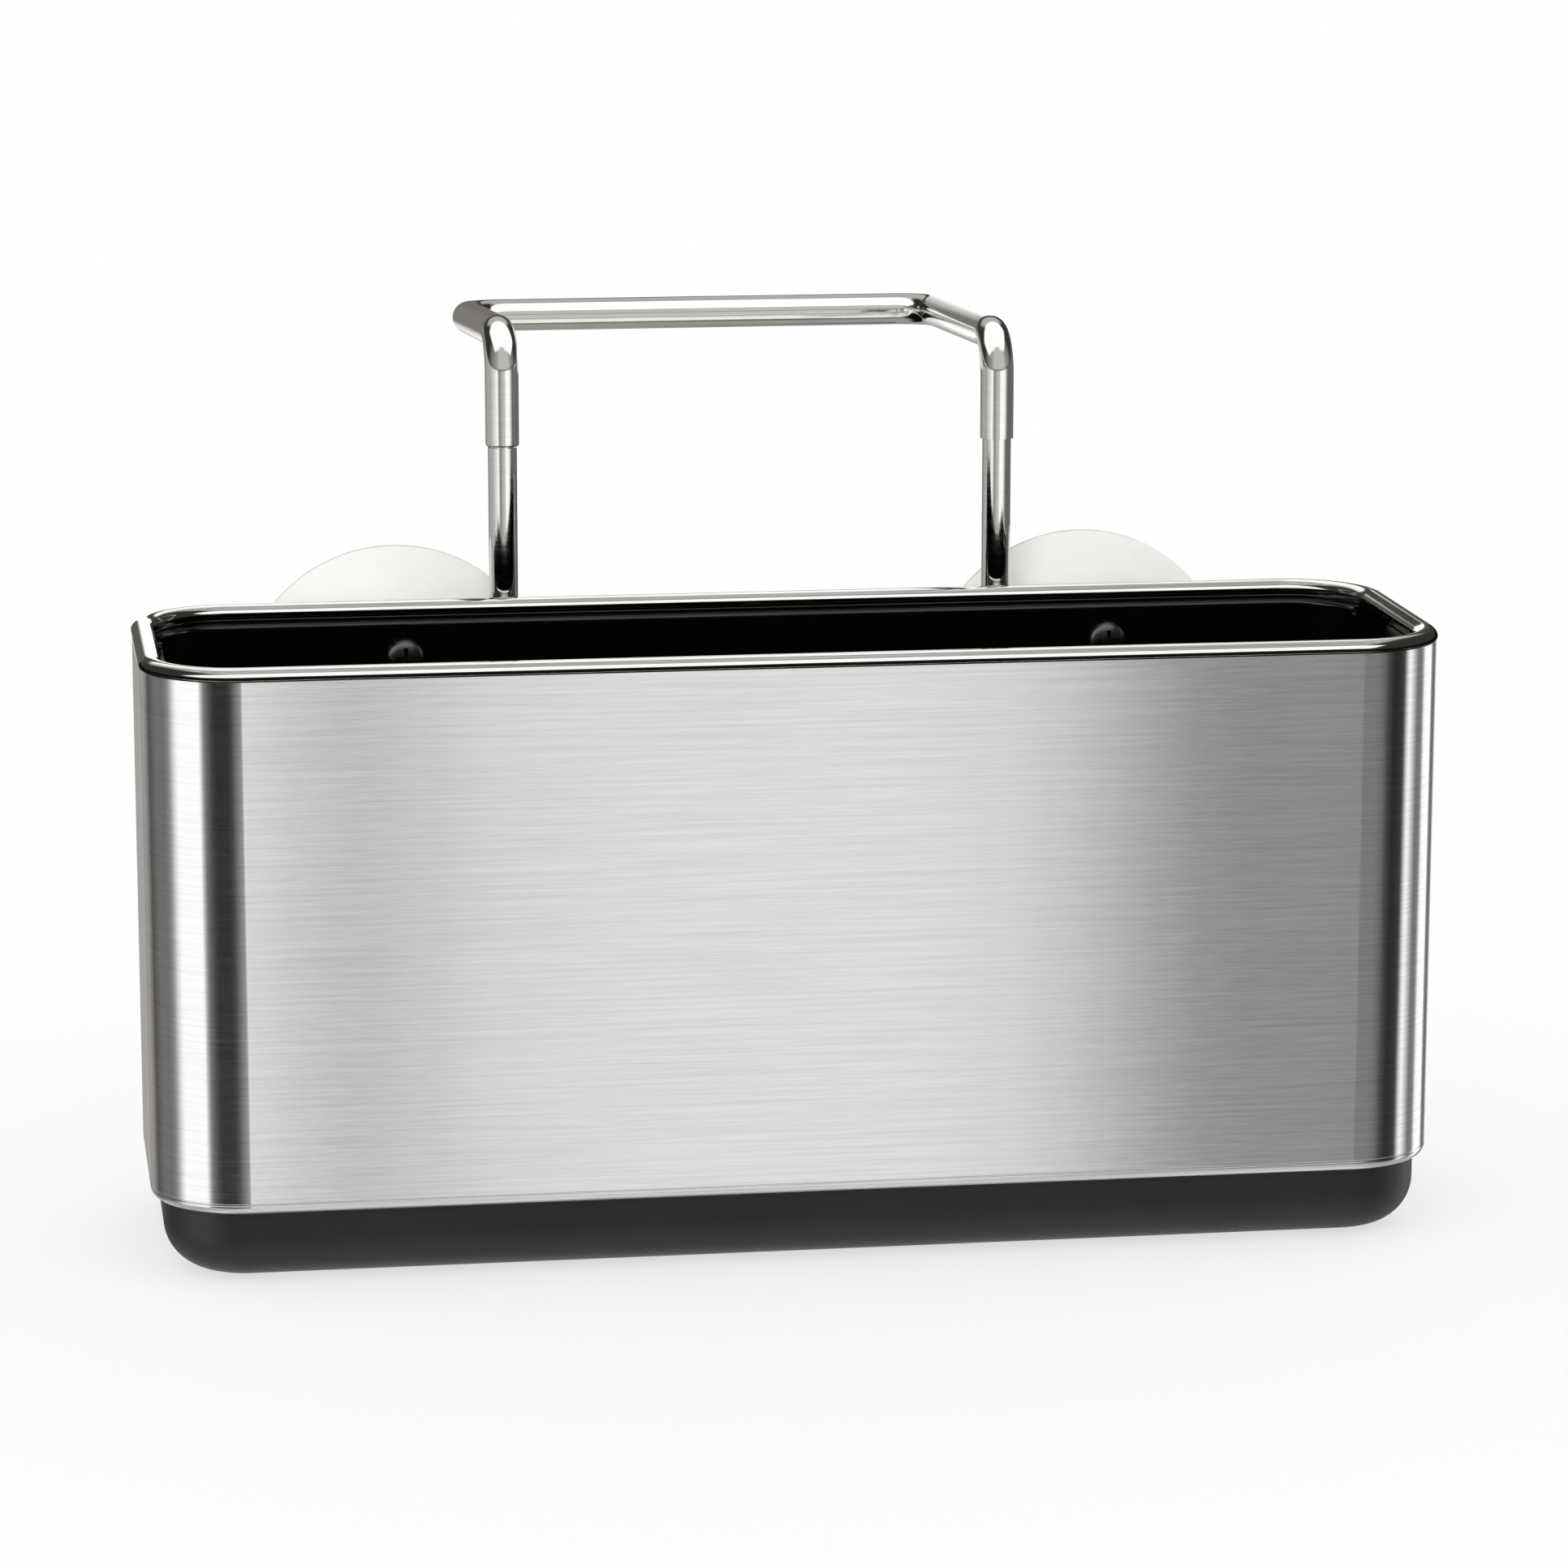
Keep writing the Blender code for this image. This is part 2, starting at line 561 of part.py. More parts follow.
def make_hook_loop(finish):
    rear_y = HOOK_Y + HOOK_REACH
    corners = [
        Vector((-HOOK_X, HOOK_Y, LOOP_END_Z)), Vector((-HOOK_X, HOOK_Y, LOOP_FRONT_Z)),
        Vector((-HOOK_X, rear_y, LOOP_REAR_Z)), Vector((HOOK_X, rear_y, LOOP_REAR_Z)),
        Vector((HOOK_X, HOOK_Y, LOOP_FRONT_Z)), Vector((HOOK_X, HOOK_Y, LOOP_END_Z)),
    ]
    path = stations(corners, LOOP_BEND)
    radius = LOOP_TUBE / 2
    up = Vector((0, 0, 1))
    eased = [(LOOP_END_EASE / 3, LOOP_END_EASE / 4), (LOOP_END_EASE, 0)]
    start = [(path[0][0] + up * rise, path[0][1]) for rise, _ in eased]
    finish_end = [(path[-1][0] + up * rise, path[-1][1]) for rise, _ in reversed(eased)]
    outside = [path[0]] + start + path[1:-1] + finish_end + [path[-1]]
    radii = [radius - LOOP_END_EASE] + [radius - less for _, less in eased]
    radii += [radius] * (len(path) - 2) + [radius - less for _, less in reversed(eased)] + [radius - LOOP_END_EASE]
    bore = radius - LOOP_TUBE_WALL
    loops = tube_loops(outside, radii, TUBE_SIDES)
    loops += list(reversed(tube_loops(path, [bore] * len(path), TUBE_SIDES)))
    place_mesh("hook_loop", loft(loops, joined=True), finish, (0, HOOK_Y, LOOP_END_Z))


def make_hook_stem(finish):
    shoulder_z = LOOP_END_Z - CLEARANCE
    corners = [
        Vector((-HOOK_X, HOOK_Y, shoulder_z)), Vector((-HOOK_X, HOOK_Y, STEM_BAR_Z)),
        Vector((HOOK_X, HOOK_Y, STEM_BAR_Z)), Vector((HOOK_X, HOOK_Y, shoulder_z)),
    ]
    path = stations(corners, STEM_BEND)
    radius = STEM_ROD / 2
    plug = LOOP_TUBE / 2 - LOOP_TUBE_WALL - CLEARANCE
    up = Vector((0, 0, 1))
    rises = [(STEM_PLUG_LENGTH, plug - PLUG_CHAMFER), (STEM_PLUG_LENGTH - PLUG_CHAMFER, plug), (0, plug)]
    start = [(path[0][0] + up * rise, path[0][1]) for rise, _ in rises]
    end = [(path[-1][0] + up * rise, path[-1][1]) for rise, _ in reversed(rises)]
    radii = [size for _, size in rises] + [radius] * len(path) + [size for _, size in reversed(rises)]
    loops = tube_loops(start + path + end, radii, ROD_SIDES)
    place_mesh("hook_stem", loft(loops), finish, (0, HOOK_Y, LOOP_END_Z))


def bracket_outline(margin):
    """The bracket's outline from behind, about its own centre, moved in by a margin."""
    width = BRACKET_OUTER_MARGIN + (CUP_X - HOOK_X) + STEM_ROD / 2 + BRACKET_LEG_WALL
    height = BRACKET_TOP_Z - BRACKET_BOTTOM_Z
    return rounded(width - 2 * margin, height - 2 * margin, BRACKET_CORNER - margin, 5)


def make_bracket(label, side, finish):
    outer_x = CUP_X + BRACKET_OUTER_MARGIN
    inner_x = HOOK_X - STEM_ROD / 2 - BRACKET_LEG_WALL
    middle = (side * (outer_x + inner_x) / 2, BRACKET_MID_Z)
    eases = arc((0, 0), BRACKET_EASE, 0, 90, 3)
    levels = [(0, BRACKET_FRONT_Y)]
    levels += [(BRACKET_EASE - x, BRACKET_BACK_Y - BRACKET_EASE + y) for x, y in eases]
    loops = []
    for margin, y in levels:
        loops.append([Vector((x, y, z)) for x, z in moved(bracket_outline(margin), middle)])
    bracket = place_mesh("bracket_" + label, loft(loops), finish)

    channel = STEM_ROD + 2 * CLEARANCE
    leg_x = side * HOOK_X
    pocket_low_x = HOOK_X + channel / 2 + BRACKET_SIDE
    pocket_high_x = outer_x - BRACKET_SIDE
    pocket_height = SCREW_SPAN - BACK_BOSS
    pocket = rounded(pocket_high_x - pocket_low_x, pocket_height, BRACKET_SIDE, 3)
    pocket = moved(pocket, (side * (pocket_low_x + pocket_high_x) / 2, CUP_Z))
    plate_y = BRACKET_BACK_Y - BRACKET_PLATE
    under_y = BRACKET_FRONT_Y - CUT_OVERRUN
    round_end = arc((leg_x, HOOK_Y), channel / 2, 0, 180, 8)
    groove = round_end + [(leg_x - channel / 2, under_y), (leg_x + channel / 2, under_y)]
    cuts = [
        prism(pocket, "Y", under_y, plate_y),
        prism(groove, "Z", BRACKET_BOTTOM_Z - CUT_OVERRUN, BRACKET_TOP_Z + CUT_OVERRUN),
    ]
    tip_y = BACK_Y - liner_inset(SCREW_HIGH_Z) - CLEARANCE + BACK_SHANK_LENGTH
    for z in (SCREW_LOW_Z, SCREW_HIGH_Z):
        cuts.append(prism(
            circle((side * CUP_X, z), BACK_SHANK + 2 * CLEARANCE), "Y", under_y, tip_y + CLEARANCE,
        ))
    combine(bracket, as_cutter(f"bracket_{label}_pockets", merged(cuts)), "DIFFERENCE")
    hole = prism(
        circle((side * CUP_X, CUP_Z), CUP_NECK + 2 * CLEARANCE), "Y",
        plate_y - CUT_OVERRUN / 2, BRACKET_BACK_Y + CUT_OVERRUN,
    )
    combine(bracket, as_cutter(f"bracket_{label}_hole", hole), "DIFFERENCE")


def make_rod_pad(label, side, finish):
    half = STEM_ROD / 2
    rear_y = HOOK_Y - half - CLEARANCE
    low = (side * HOOK_X - half, rear_y - PAD_THICKNESS, BRACKET_BOTTOM_Z + PAD_MARGIN)
    high = (side * HOOK_X + half, rear_y, BRACKET_TOP_Z - PAD_MARGIN)
    place_mesh("rod_pad_" + label, block(low, high), finish)


def make_cup(label, side, finish):
    """The cup is turned about an axis that runs back along +Y from the bracket."""
    face = BRACKET_BACK_Y + CUP_FACE_GAP
    seal_y = face + CUP_DEPTH
    web_y = face + CUP_WEB
    reach = CUP_RADIUS - CUP_SEAL - CUP_HUB / 2
    drop = CUP_DEPTH - CUP_LIP
    outer = []
    inner = []
    for step in range(1, BELL_STEPS):
        share = step / BELL_STEPS
        fall = share ** 1.6
        outer.append((CUP_HUB / 2 + (CUP_RADIUS - CUP_HUB / 2) * share, face + drop * fall))
        inner.append((CUP_HUB / 2 + reach * share, web_y + (seal_y - web_y) * fall))
    nub_y = BRACKET_BACK_Y - BRACKET_PLATE - CLEARANCE
    front = [
        (0, nub_y - NUB_HEIGHT), (NUB_WIDTH / 4, nub_y - NUB_HEIGHT), (NUB_WIDTH / 2, nub_y - NUB_HEIGHT / 3),
        (NUB_WIDTH / 2, nub_y), (CUP_NECK / 2, nub_y), (CUP_NECK / 2, BRACKET_BACK_Y + CLEARANCE),
        (CUP_HUB / 2, BRACKET_BACK_Y + CLEARANCE), (CUP_HUB / 2, face),
    ]
    lip = [(CUP_RADIUS, seal_y - CUP_LIP), (CUP_RADIUS, seal_y), (CUP_RADIUS - CUP_SEAL, seal_y)]
    profile = front + outer + lip + list(reversed(inner)) + [(0, web_y)]
    shape = turned(profile, CUP_SIDES)
    lay_back = Matrix.Translation((side * CUP_X, 0, CUP_Z)) @ Matrix.Rotation(-math.pi / 2, 4, "X")
    bmesh.ops.transform(shape, matrix=lay_back, verts=shape.verts[:])
    place_mesh("suction_cup_" + label, shape, finish, (side * CUP_X, seal_y, CUP_Z))


def make_sponge_rack(finish):
    foot_z = FLOOR_TOP_Z + CLEARANCE
    left = RACK_LEFT_X
    right = RACK_RIGHT_X
    wall = RACK_WALL
    top = RACK_DECK_Z
    bend_x = right - RACK_BEND
    bend_z = top - RACK_BEND
    profile = [(left, foot_z), (left + wall, foot_z), (left + wall, top - wall)]
    profile += arc((bend_x, bend_z), RACK_BEND - wall, 90, 0, 4)
    profile += [(right - wall, foot_z), (right, foot_z)]
    profile += arc((bend_x, bend_z), RACK_BEND, 0, 90, 4)
    profile += [(left + wall, top), (left + wall, top + RACK_UPSTAND), (left, top + RACK_UPSTAND)]
    rack = place_mesh("sponge_rack", prism(profile, "Y", -RACK_DEPTH / 2, RACK_DEPTH / 2), finish)

    beyond = RACK_CORNER + CUT_OVERRUN
    span = right - left + beyond
    plan = moved(rounded(span, RACK_DEPTH, RACK_CORNER, 5), (right - span / 2, 0))
    keep = prism(plan, "Z", foot_z - CUT_OVERRUN, top + RACK_UPSTAND + CUT_OVERRUN)
    combine(rack, as_cutter("rack_plan", keep), "INTERSECT")

    half = RACK_DEPTH / 2
    ease = RACK_FOOT_EASE
    tall = top + RACK_UPSTAND + CUT_OVERRUN
    side_view = [(-half + ease, foot_z - CUT_OVERRUN), (half - ease, foot_z - CUT_OVERRUN)]
    side_view += arc((half - ease, foot_z + ease), ease, -90, 0, 4)[1:]
    side_view += [(half + CUT_OVERRUN, foot_z + 2 * ease), (half + CUT_OVERRUN, tall)]
    side_view += [(-half - CUT_OVERRUN, tall), (-half - CUT_OVERRUN, foot_z + 2 * ease)]
    side_view += arc((-half + ease, foot_z + ease), ease, 180, 270, 4)[:-1]
    feet = prism(side_view, "X", left - CUT_OVERRUN, right + CUT_OVERRUN)
    combine(rack, as_cutter("rack_feet", feet), "INTERSECT")

    cuts = []
    middle_x = (left + wall + bend_x) / 2
    slot = rounded(
        DECK_SLOT_WIDTH, RACK_DEPTH - 2 * DECK_SLOT_MARGIN, DECK_SLOT_WIDTH * SLOT_END_SHARE, SLOT_STEPS,
    )
    for x in spread(bend_x - left - wall - DECK_SLOT_WIDTH, DECK_PITCH):
        cuts.append(prism(
            moved(slot, (middle_x + x, 0)), "Z", top - wall - CUT_OVERRUN, top + CUT_OVERRUN,
        ))
    low = foot_z + LEG_WINDOW_MARGIN
    high = bend_z - LEG_WINDOW_MARGIN / 2
    window = moved(rounded(LEG_WINDOW_WIDTH, high - low, LEG_WINDOW_CORNER, SLOT_STEPS), (0, (low + high) / 2))
    for x in (left, right - wall):
        cuts.append(prism(window, "X", x - CUT_OVERRUN, x + wall + CUT_OVERRUN))
    combine(rack, as_cutter("rack_cuts", merged(cuts)), "DIFFERENCE")


def main():
    clear_scene()
    brushed = make_finish("brushed_stainless", "c9c8c4", 0.32, 1.0)
    polished = make_finish("polished_stainless", "dcdcda", 0.08, 1.0)
    nickel = make_finish("screw_steel", "5e5e60", 0.25, 1.0)
    gloss = make_finish("gloss_black_abs", "0b0b0c", 0.18)
    satin = make_finish("satin_black_pp", "2b2927", 0.45)
    rubber = make_finish("black_rubber", "1a1a1a", 0.8)
    clear = make_finish("frosted_pvc", "eeece6", 0.35, transmission=0.3)
    make_base_tray(satin)
    make_liner(gloss)
    make_sleeve(brushed)
    make_rim(polished)
    make_sponge_rack(satin)
    make_screws(nickel)
    make_hook_loop(polished)
    make_hook_stem(polished)
    for label, side in SIDES:
        make_bracket(label, side, satin)
        make_rod_pad(label, side, rubber)
        make_cup(label, side, clear)


main()
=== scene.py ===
"""Looks of the sink caddy: brushed sleeve, polished trim and hook, glossy tub, satin base and milky cups.

Shapes are drawn in millimetres in the caddy's own frame (origin under the middle of the base, front towards
-Y, +Z up) and brought to metres when a piece is finished.
"""

import math

import bmesh
import bpy
from mathutils import Matrix, Vector


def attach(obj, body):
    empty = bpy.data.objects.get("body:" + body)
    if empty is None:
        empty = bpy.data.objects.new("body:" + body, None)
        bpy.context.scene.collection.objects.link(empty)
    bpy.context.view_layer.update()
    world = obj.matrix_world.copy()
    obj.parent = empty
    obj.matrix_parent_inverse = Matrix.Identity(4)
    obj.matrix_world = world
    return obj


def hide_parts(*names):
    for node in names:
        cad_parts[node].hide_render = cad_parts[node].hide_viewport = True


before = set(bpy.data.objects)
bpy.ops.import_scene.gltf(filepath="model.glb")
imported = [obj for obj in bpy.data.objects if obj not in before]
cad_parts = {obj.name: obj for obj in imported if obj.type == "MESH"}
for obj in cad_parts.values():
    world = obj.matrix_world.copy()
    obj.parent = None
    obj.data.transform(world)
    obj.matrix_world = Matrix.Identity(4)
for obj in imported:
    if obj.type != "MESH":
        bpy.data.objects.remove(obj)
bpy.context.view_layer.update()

MM = 0.001
TOUCH = 0.0005
OVERRUN = 2.0

# Body in plan
BODY_WIDTH = 250.0
BODY_DEPTH = 75.0
BODY_CORNER = 18.5
CORNER_STEPS = 40

# Heights
BASE_TOP = 19.0
SLEEVE_LOW = 14.0
SLEEVE_TOP = 116.46
RIM_LOW = 116.56
TUB_TOP = 115.2
TUB_STEP = 116.1
TUB_FLOOR = 11.0
TUB_UNDER = 9.0
TUB_WALL = 5.7
TUB_TAPER = 1.0

# Hook
HOOK_X = 50.1
HOOK_Y = 42.5
LOOP_END_Z = 148.3
LOOP_FRONT_Z = 170.8
LOOP_RIGHT_LOWER = 2.0
LOOP_REAR_Y = 120.0
LOOP_REAR_Z = 165.3
LOOP_BEND = 8.0
TUBE_RADIUS = 3.35
TUBE_BORE = 2.75
ROD_RADIUS = 2.9
STEM_LOW_Z = 37.5
STEM_BEND = 9.0
PLUG_RADIUS = 2.45
PLUG_LENGTH = 11.0

# Back fittings
CUP_X = 70.9
CUP_Z = 94.5
SCREW_HEIGHTS = {"lower": 81.0, "upper": 108.0}
BRACKET_LOW = (44.2, 37.8, 75.0)
BRACKET_HIGH = (89.4, 47.8, 114.0)
SIDES = {"left": -1, "right": 1}

# Screws that hold the base to the tub
FOOT_SCREW_X = 88.0
FOOT_SCREW_ROWS = {"front": -16.0, "rear": 16.0}
FOOT_BOSS = 4.25

# Screw sizes: head, rise of the head, shank and length
BACK_SCREW = (7.4, 2.6, 3.4, 12.5)
FOOT_SCREW = (6.0, 1.9, 2.6, 6.8)

# Sponge rack
RACK_FOOT = 11.3
RACK_LEFT = 5.5
RACK_RIGHT = 115.7
RACK_TOP = 85.0
RACK_DEPTH = 55.0
RACK_WALL = 2.0
RACK_BEND = 8.0
RACK_UPSTAND = 10.0

# Edges sharper than this, in degrees, stay crisp or are eased
SHARP = math.radians(40)


# Shaping

def arc(centre, radius, start, end, steps, squash=1.0):
    """Points on an arc from one angle to another, in degrees; squash flattens it in its second axis."""
    points = []
    for step in range(steps + 1):
        angle = math.radians(start + (end - start) * step / steps)
        points.append((centre[0] + radius * math.cos(angle), centre[1] + squash * radius * math.sin(angle)))
    return points


def line(shape, points, closed=False):
    """Joins points with edges and returns the vertices and edges."""
    verts = [shape.verts.new(point) for point in points]
    ends = verts[1:] + verts[:1] if closed else verts[1:]
    return verts + [shape.edges.new(pair) for pair in zip(verts, ends)]


def carry(shape, line_parts, along=(0, 0, 0), about=(0, 0, 0), axis=(0, 0, 1), turn=0.0, steps=1):
    """Extrudes a line of edges straight or round an axis and returns its last place."""
    return bmesh.ops.spin(
        shape, geom=line_parts, cent=about, axis=axis, dvec=Vector(along) / steps,
        angle=math.radians(turn), steps=steps, use_merge=False,
    )["geom_last"]


def round_body(section, closed=True):
    """Carries a section of (inset, height) points once round the body's outline."""
    shape = bmesh.new()
    last = line(shape, [(0, inset - BODY_DEPTH / 2, z) for inset, z in section], closed)
    across = BODY_WIDTH / 2 - BODY_CORNER
    along = BODY_DEPTH / 2 - BODY_CORNER
    runs = ((across, 0, 0), (0, 2 * along, 0), (-2 * across, 0, 0), (0, -2 * along, 0))
    middles = ((across, -along, 0), (across, along, 0), (-across, along, 0), (-across, -along, 0))
    for run, middle in zip(runs, middles):
        last = carry(shape, last, along=run)
        last = carry(shape, last, about=middle, turn=90, steps=CORNER_STEPS)
    carry(shape, last, along=(across, 0, 0))
    bmesh.ops.remove_doubles(shape, verts=shape.verts[:], dist=TOUCH)
    if not closed:
        bmesh.ops.holes_fill(shape, edges=[e for e in shape.edges if e.is_boundary], sides=0)
    return shape


def turned(profile, place, steps):
    """Turns a profile of (radius, height) points, from axis to axis, about Z, and moves it to its place."""
    shape = bmesh.new()
    parts = line(shape, [(radius, 0, height) for radius, height in profile])
    bmesh.ops.spin(
        shape, geom=parts, cent=(0, 0, 0), axis=(0, 0, 1), angle=math.tau, steps=steps, use_merge=True,
    )
    bmesh.ops.remove_doubles(shape, verts=shape.verts[:], dist=TOUCH)
    bmesh.ops.transform(shape, matrix=place, verts=shape.verts[:])
    return shape


def rod_along(shape, radius, corners, bend):
    """Carries a ring of a radius along straight runs that are joined by bends."""
    verts = bmesh.ops.create_circle(
        shape, cap_ends=False, segments=48, radius=radius, matrix=Matrix.Translation(corners[0]),
    )["verts"]
    ring = verts + list({edge for vert in verts for edge in vert.link_edges})
    place = Vector(corners[0])
    for before, corner, after in zip(corners, corners[1:], corners[2:]):
        inward = (Vector(corner) - Vector(before)).normalized()
        outward = (Vector(after) - Vector(corner)).normalized()
        turn = inward.angle(outward)
        start = Vector(corner) - inward * bend * math.tan(turn / 2)
        axis = inward.cross(outward).normalized()
        middle = start + axis.cross(inward) * bend
        ring = carry(shape, ring, along=start - place)
        ring = carry(shape, ring, about=middle, axis=axis, turn=math.degrees(turn), steps=14)
        place = Vector(corner) + outward * bend * math.tan(turn / 2)
    return carry(shape, ring, along=Vector(corners[-1]) - place)


def block(shape, low, high, corner=0.0, axis=2, steps=8):
    """A box between two corners, with the four edges along an axis rounded."""
    low, high = (Vector(map(pick, low, high)) for pick in (min, max))
    verts = bmesh.ops.create_cube(shape, size=1)["verts"]
    bmesh.ops.scale(shape, vec=high - low, verts=verts)
    bmesh.ops.translate(shape, vec=(low + high) / 2, verts=verts)
    if corner:
        edges = {edge for vert in verts for edge in vert.link_edges}
        along = [e for e in edges if abs((e.verts[0].co - e.verts[1].co)[axis]) > TOUCH]
        bevel(shape, along, corner, steps)
    return shape


def bevel(shape, edges, size, steps):
    bmesh.ops.bevel(
        shape, geom=edges, offset=size, offset_type="OFFSET", segments=steps, profile=0.5,
        affect="EDGES", material=-1, clamp_overlap=True,
    )


def barrel(shape, centre, radius, low, high, axis=2, steps=40):
    """A plain round pin along X, Y or Z, for holes and bosses."""
    turn = Matrix() if axis == 2 else Matrix.Rotation(math.pi / 2, 4, "Y" if axis == 0 else "X")
    middle = Vector(centre)
    middle[axis] = (low + high) / 2
    bmesh.ops.create_cone(
        shape, cap_ends=True, segments=steps, radius1=radius, radius2=radius, depth=high - low,
        matrix=Matrix.Translation(middle) @ turn,
    )
    return shape


def slab(outline, axis, low, high):
    """A flat outline carried along an axis. The outline is in the other two axes."""
    shape = bmesh.new()
    points = []
    for first, second in outline:
        point = [first, second]
        point.insert(axis, low)
        points.append(point)
    edges = [part for part in line(shape, points, True) if isinstance(part, bmesh.types.BMEdge)]
    face = bmesh.ops.contextual_create(shape, geom=edges)["faces"]
    grown = bmesh.ops.extrude_face_region(shape, geom=face, use_keep_orig=True)["geom"]
    along = [0, 0, 0]
    along[axis] = high - low
    bmesh.ops.translate(shape, vec=along, verts=[g for g in grown if isinstance(g, bmesh.types.BMVert)])
    return shape


def carve(shape, tool, operation="DIFFERENCE"):
    """The first shape less the second, with it, or what both share."""
    pair = []
    for part in (shape, tool):
        bmesh.ops.recalc_face_normals(part, faces=part.faces[:])
        mesh = bpy.data.meshes.new("carving")
        part.to_mesh(mesh)
        part.free()
        pair.append(bpy.data.objects.new("carving", mesh))
        bpy.context.scene.collection.objects.link(pair[-1])
    step = pair[0].modifiers.new("carve", "BOOLEAN")
    step.operation = operation
    step.object = pair[1]
    step.solver = "EXACT"
    result = bmesh.new()
    result.from_object(pair[0], bpy.context.evaluated_depsgraph_get())
    for thing in pair:
        mesh = thing.data
        bpy.data.objects.remove(thing)
        bpy.data.meshes.remove(mesh)
    return result


PIECES = []


def finish_piece(name, shape, material, body, node, ease=0.0):
    """Makes the piece in metres, hangs it under its body's empty and hides the CAD solid it stands for."""
    bmesh.ops.remove_doubles(shape, verts=shape.verts[:], dist=TOUCH)
    bmesh.ops.recalc_face_normals(shape, faces=shape.faces[:])
    bmesh.ops.scale(shape, vec=(MM, MM, MM), verts=shape.verts[:])
    mesh = bpy.data.meshes.new(name)
    shape.to_mesh(mesh)
    shape.free()
    mesh.materials.append(material)
    mesh.shade_smooth()
    mesh.set_sharp_from_angle(angle=SHARP)
    piece = bpy.data.objects.new(name, mesh)
    bpy.context.scene.collection.objects.link(piece)
    if ease:
        edge = piece.modifiers.new("eased_edges", "BEVEL")
        edge.width = ease * MM
        edge.segments = 2
        edge.limit_method = "ANGLE"
        edge.angle_limit = SHARP
    shading = piece.modifiers.new("even_shading", "WEIGHTED_NORMAL")
    shading.keep_sharp = not ease
    shading.weight = 100
    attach(piece, body)
    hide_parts(node)
    PIECES.append(piece)


# Materials

def colour(hex_value):
    """An sRGB hex value in linear light."""
    channels = []
    for place in (0, 2, 4):
        value = int(hex_value[place:place + 2], 16) / 255
        channels.append(value / 12.92 if value <= 0.04045 else ((value + 0.055) / 1.055) ** 2.4)
    return (*channels, 1.0)


def add(tree, kind, inputs=None, **settings):
    """Adds a node with its settings. An input is a plain value or another node's socket."""
    made = tree.nodes.new(kind)
    for name, value in settings.items():
        setattr(made, name, value)
    for name, value in (inputs or {}).items():
        if isinstance(value, bpy.types.NodeSocket):
            tree.links.new(value, made.inputs[name])
        else:
            made.inputs[name].default_value = value
    return made


def new_material(name):
    material = bpy.data.materials.new(name)
    material.use_nodes = True
    tree = material.node_tree
    return material, tree, tree.nodes["Principled BSDF"]


def shader_values(shader, **values):
    for name, value in values.items():
        shader.inputs[name.replace("_", " ")].default_value = value


def pattern(tree, grain, detail=3.0, rough=0.55):
    """Noise whose cells have a size in millimetres along X, Y and Z."""
    place = add(tree, "ShaderNodeTexCoord").outputs["Object"]
    sized = add(tree, "ShaderNodeMapping", {"Vector": place, "Scale": [1 / (MM * size) for size in grain]})
    return add(tree, "ShaderNodeTexNoise", {
        "Vector": sized.outputs["Vector"], "Scale": 1.0, "Detail": detail, "Roughness": rough,
    }).outputs["Fac"]


def surface(tree, shader, shade, colours, haze, roughness, relief=None, depth=0.0):
    """Colour and roughness that drift with patterns, and a relief with a real depth in millimetres."""
    drift = {"From Min": 0.3, "From Max": 0.7}
    dark, light = (colour(value) for value in colours)
    low, high = roughness
    share = add(tree, "ShaderNodeMapRange", {"Value": shade, **drift}).outputs["Result"]
    mixed = add(tree, "ShaderNodeMix", {"Factor": share, 6: dark, 7: light}, data_type="RGBA").outputs[2]
    rough = add(tree, "ShaderNodeMapRange", {"Value": haze, **drift, "To Min": low, "To Max": high})
    tree.links.new(mixed, shader.inputs["Base Color"])
    tree.links.new(rough.outputs["Result"], shader.inputs["Roughness"])
    if relief is not None:
        bump = add(tree, "ShaderNodeBump", {"Height": relief, "Distance": depth * MM, "Strength": 1.0})
        tree.links.new(bump.outputs["Normal"], shader.inputs["Normal"])


def brushed_stainless_steel():
    """Stainless sheet brushed along its length: fine level streaks that break every highlight up and down."""
    material, tree, shader = new_material("brushed_stainless_steel")
    shader_values(shader, Metallic=1.0, Anisotropic=1.0, Anisotropic_Rotation=0.25)
    fine = pattern(tree, (7.0, 7.0, 0.22), 4.0, 0.7)
    long = pattern(tree, (38.0, 38.0, 0.6), 2.0, 0.5)
    both = add(tree, "ShaderNodeMath", {0: fine, 1: long}, operation="ADD").outputs[0]
    streaks = add(tree, "ShaderNodeMath", {0: both, 1: 0.5}, operation="MULTIPLY").outputs[0]
    surface(tree, shader, streaks, ("cbcbca", "e2e2e3"), fine, (0.13, 0.17), fine, 0.002)
    return material


def polished_stainless_steel():
    """Buffed stainless bar and bead: a near mirror with a faint drag of the buffing wheel."""
    material, tree, shader = new_material("polished_stainless_steel")
    shader_values(shader, Metallic=1.0)
    drag = pattern(tree, (9.0, 9.0, 0.5), 3.0, 0.6)
    surface(tree, shader, drag, ("cfcfcc", "d8d8d6"), drag, (0.045, 0.10))
    return material


def gloss_black_abs():
    """Tub moulded from glossy black ABS: deep black with clear reflections that waver very slightly."""
    material, tree, shader = new_material("gloss_black_abs")
    shader_values(shader, IOR=1.53)
    waver = pattern(tree, (26.0, 26.0, 26.0), 2.0, 0.5)
    haze = pattern(tree, (1.5, 1.5, 1.5), 3.0, 0.6)
    surface(tree, shader, haze, ("040404", "070707"), haze, (0.09, 0.15), waver, 0.02)
    return material


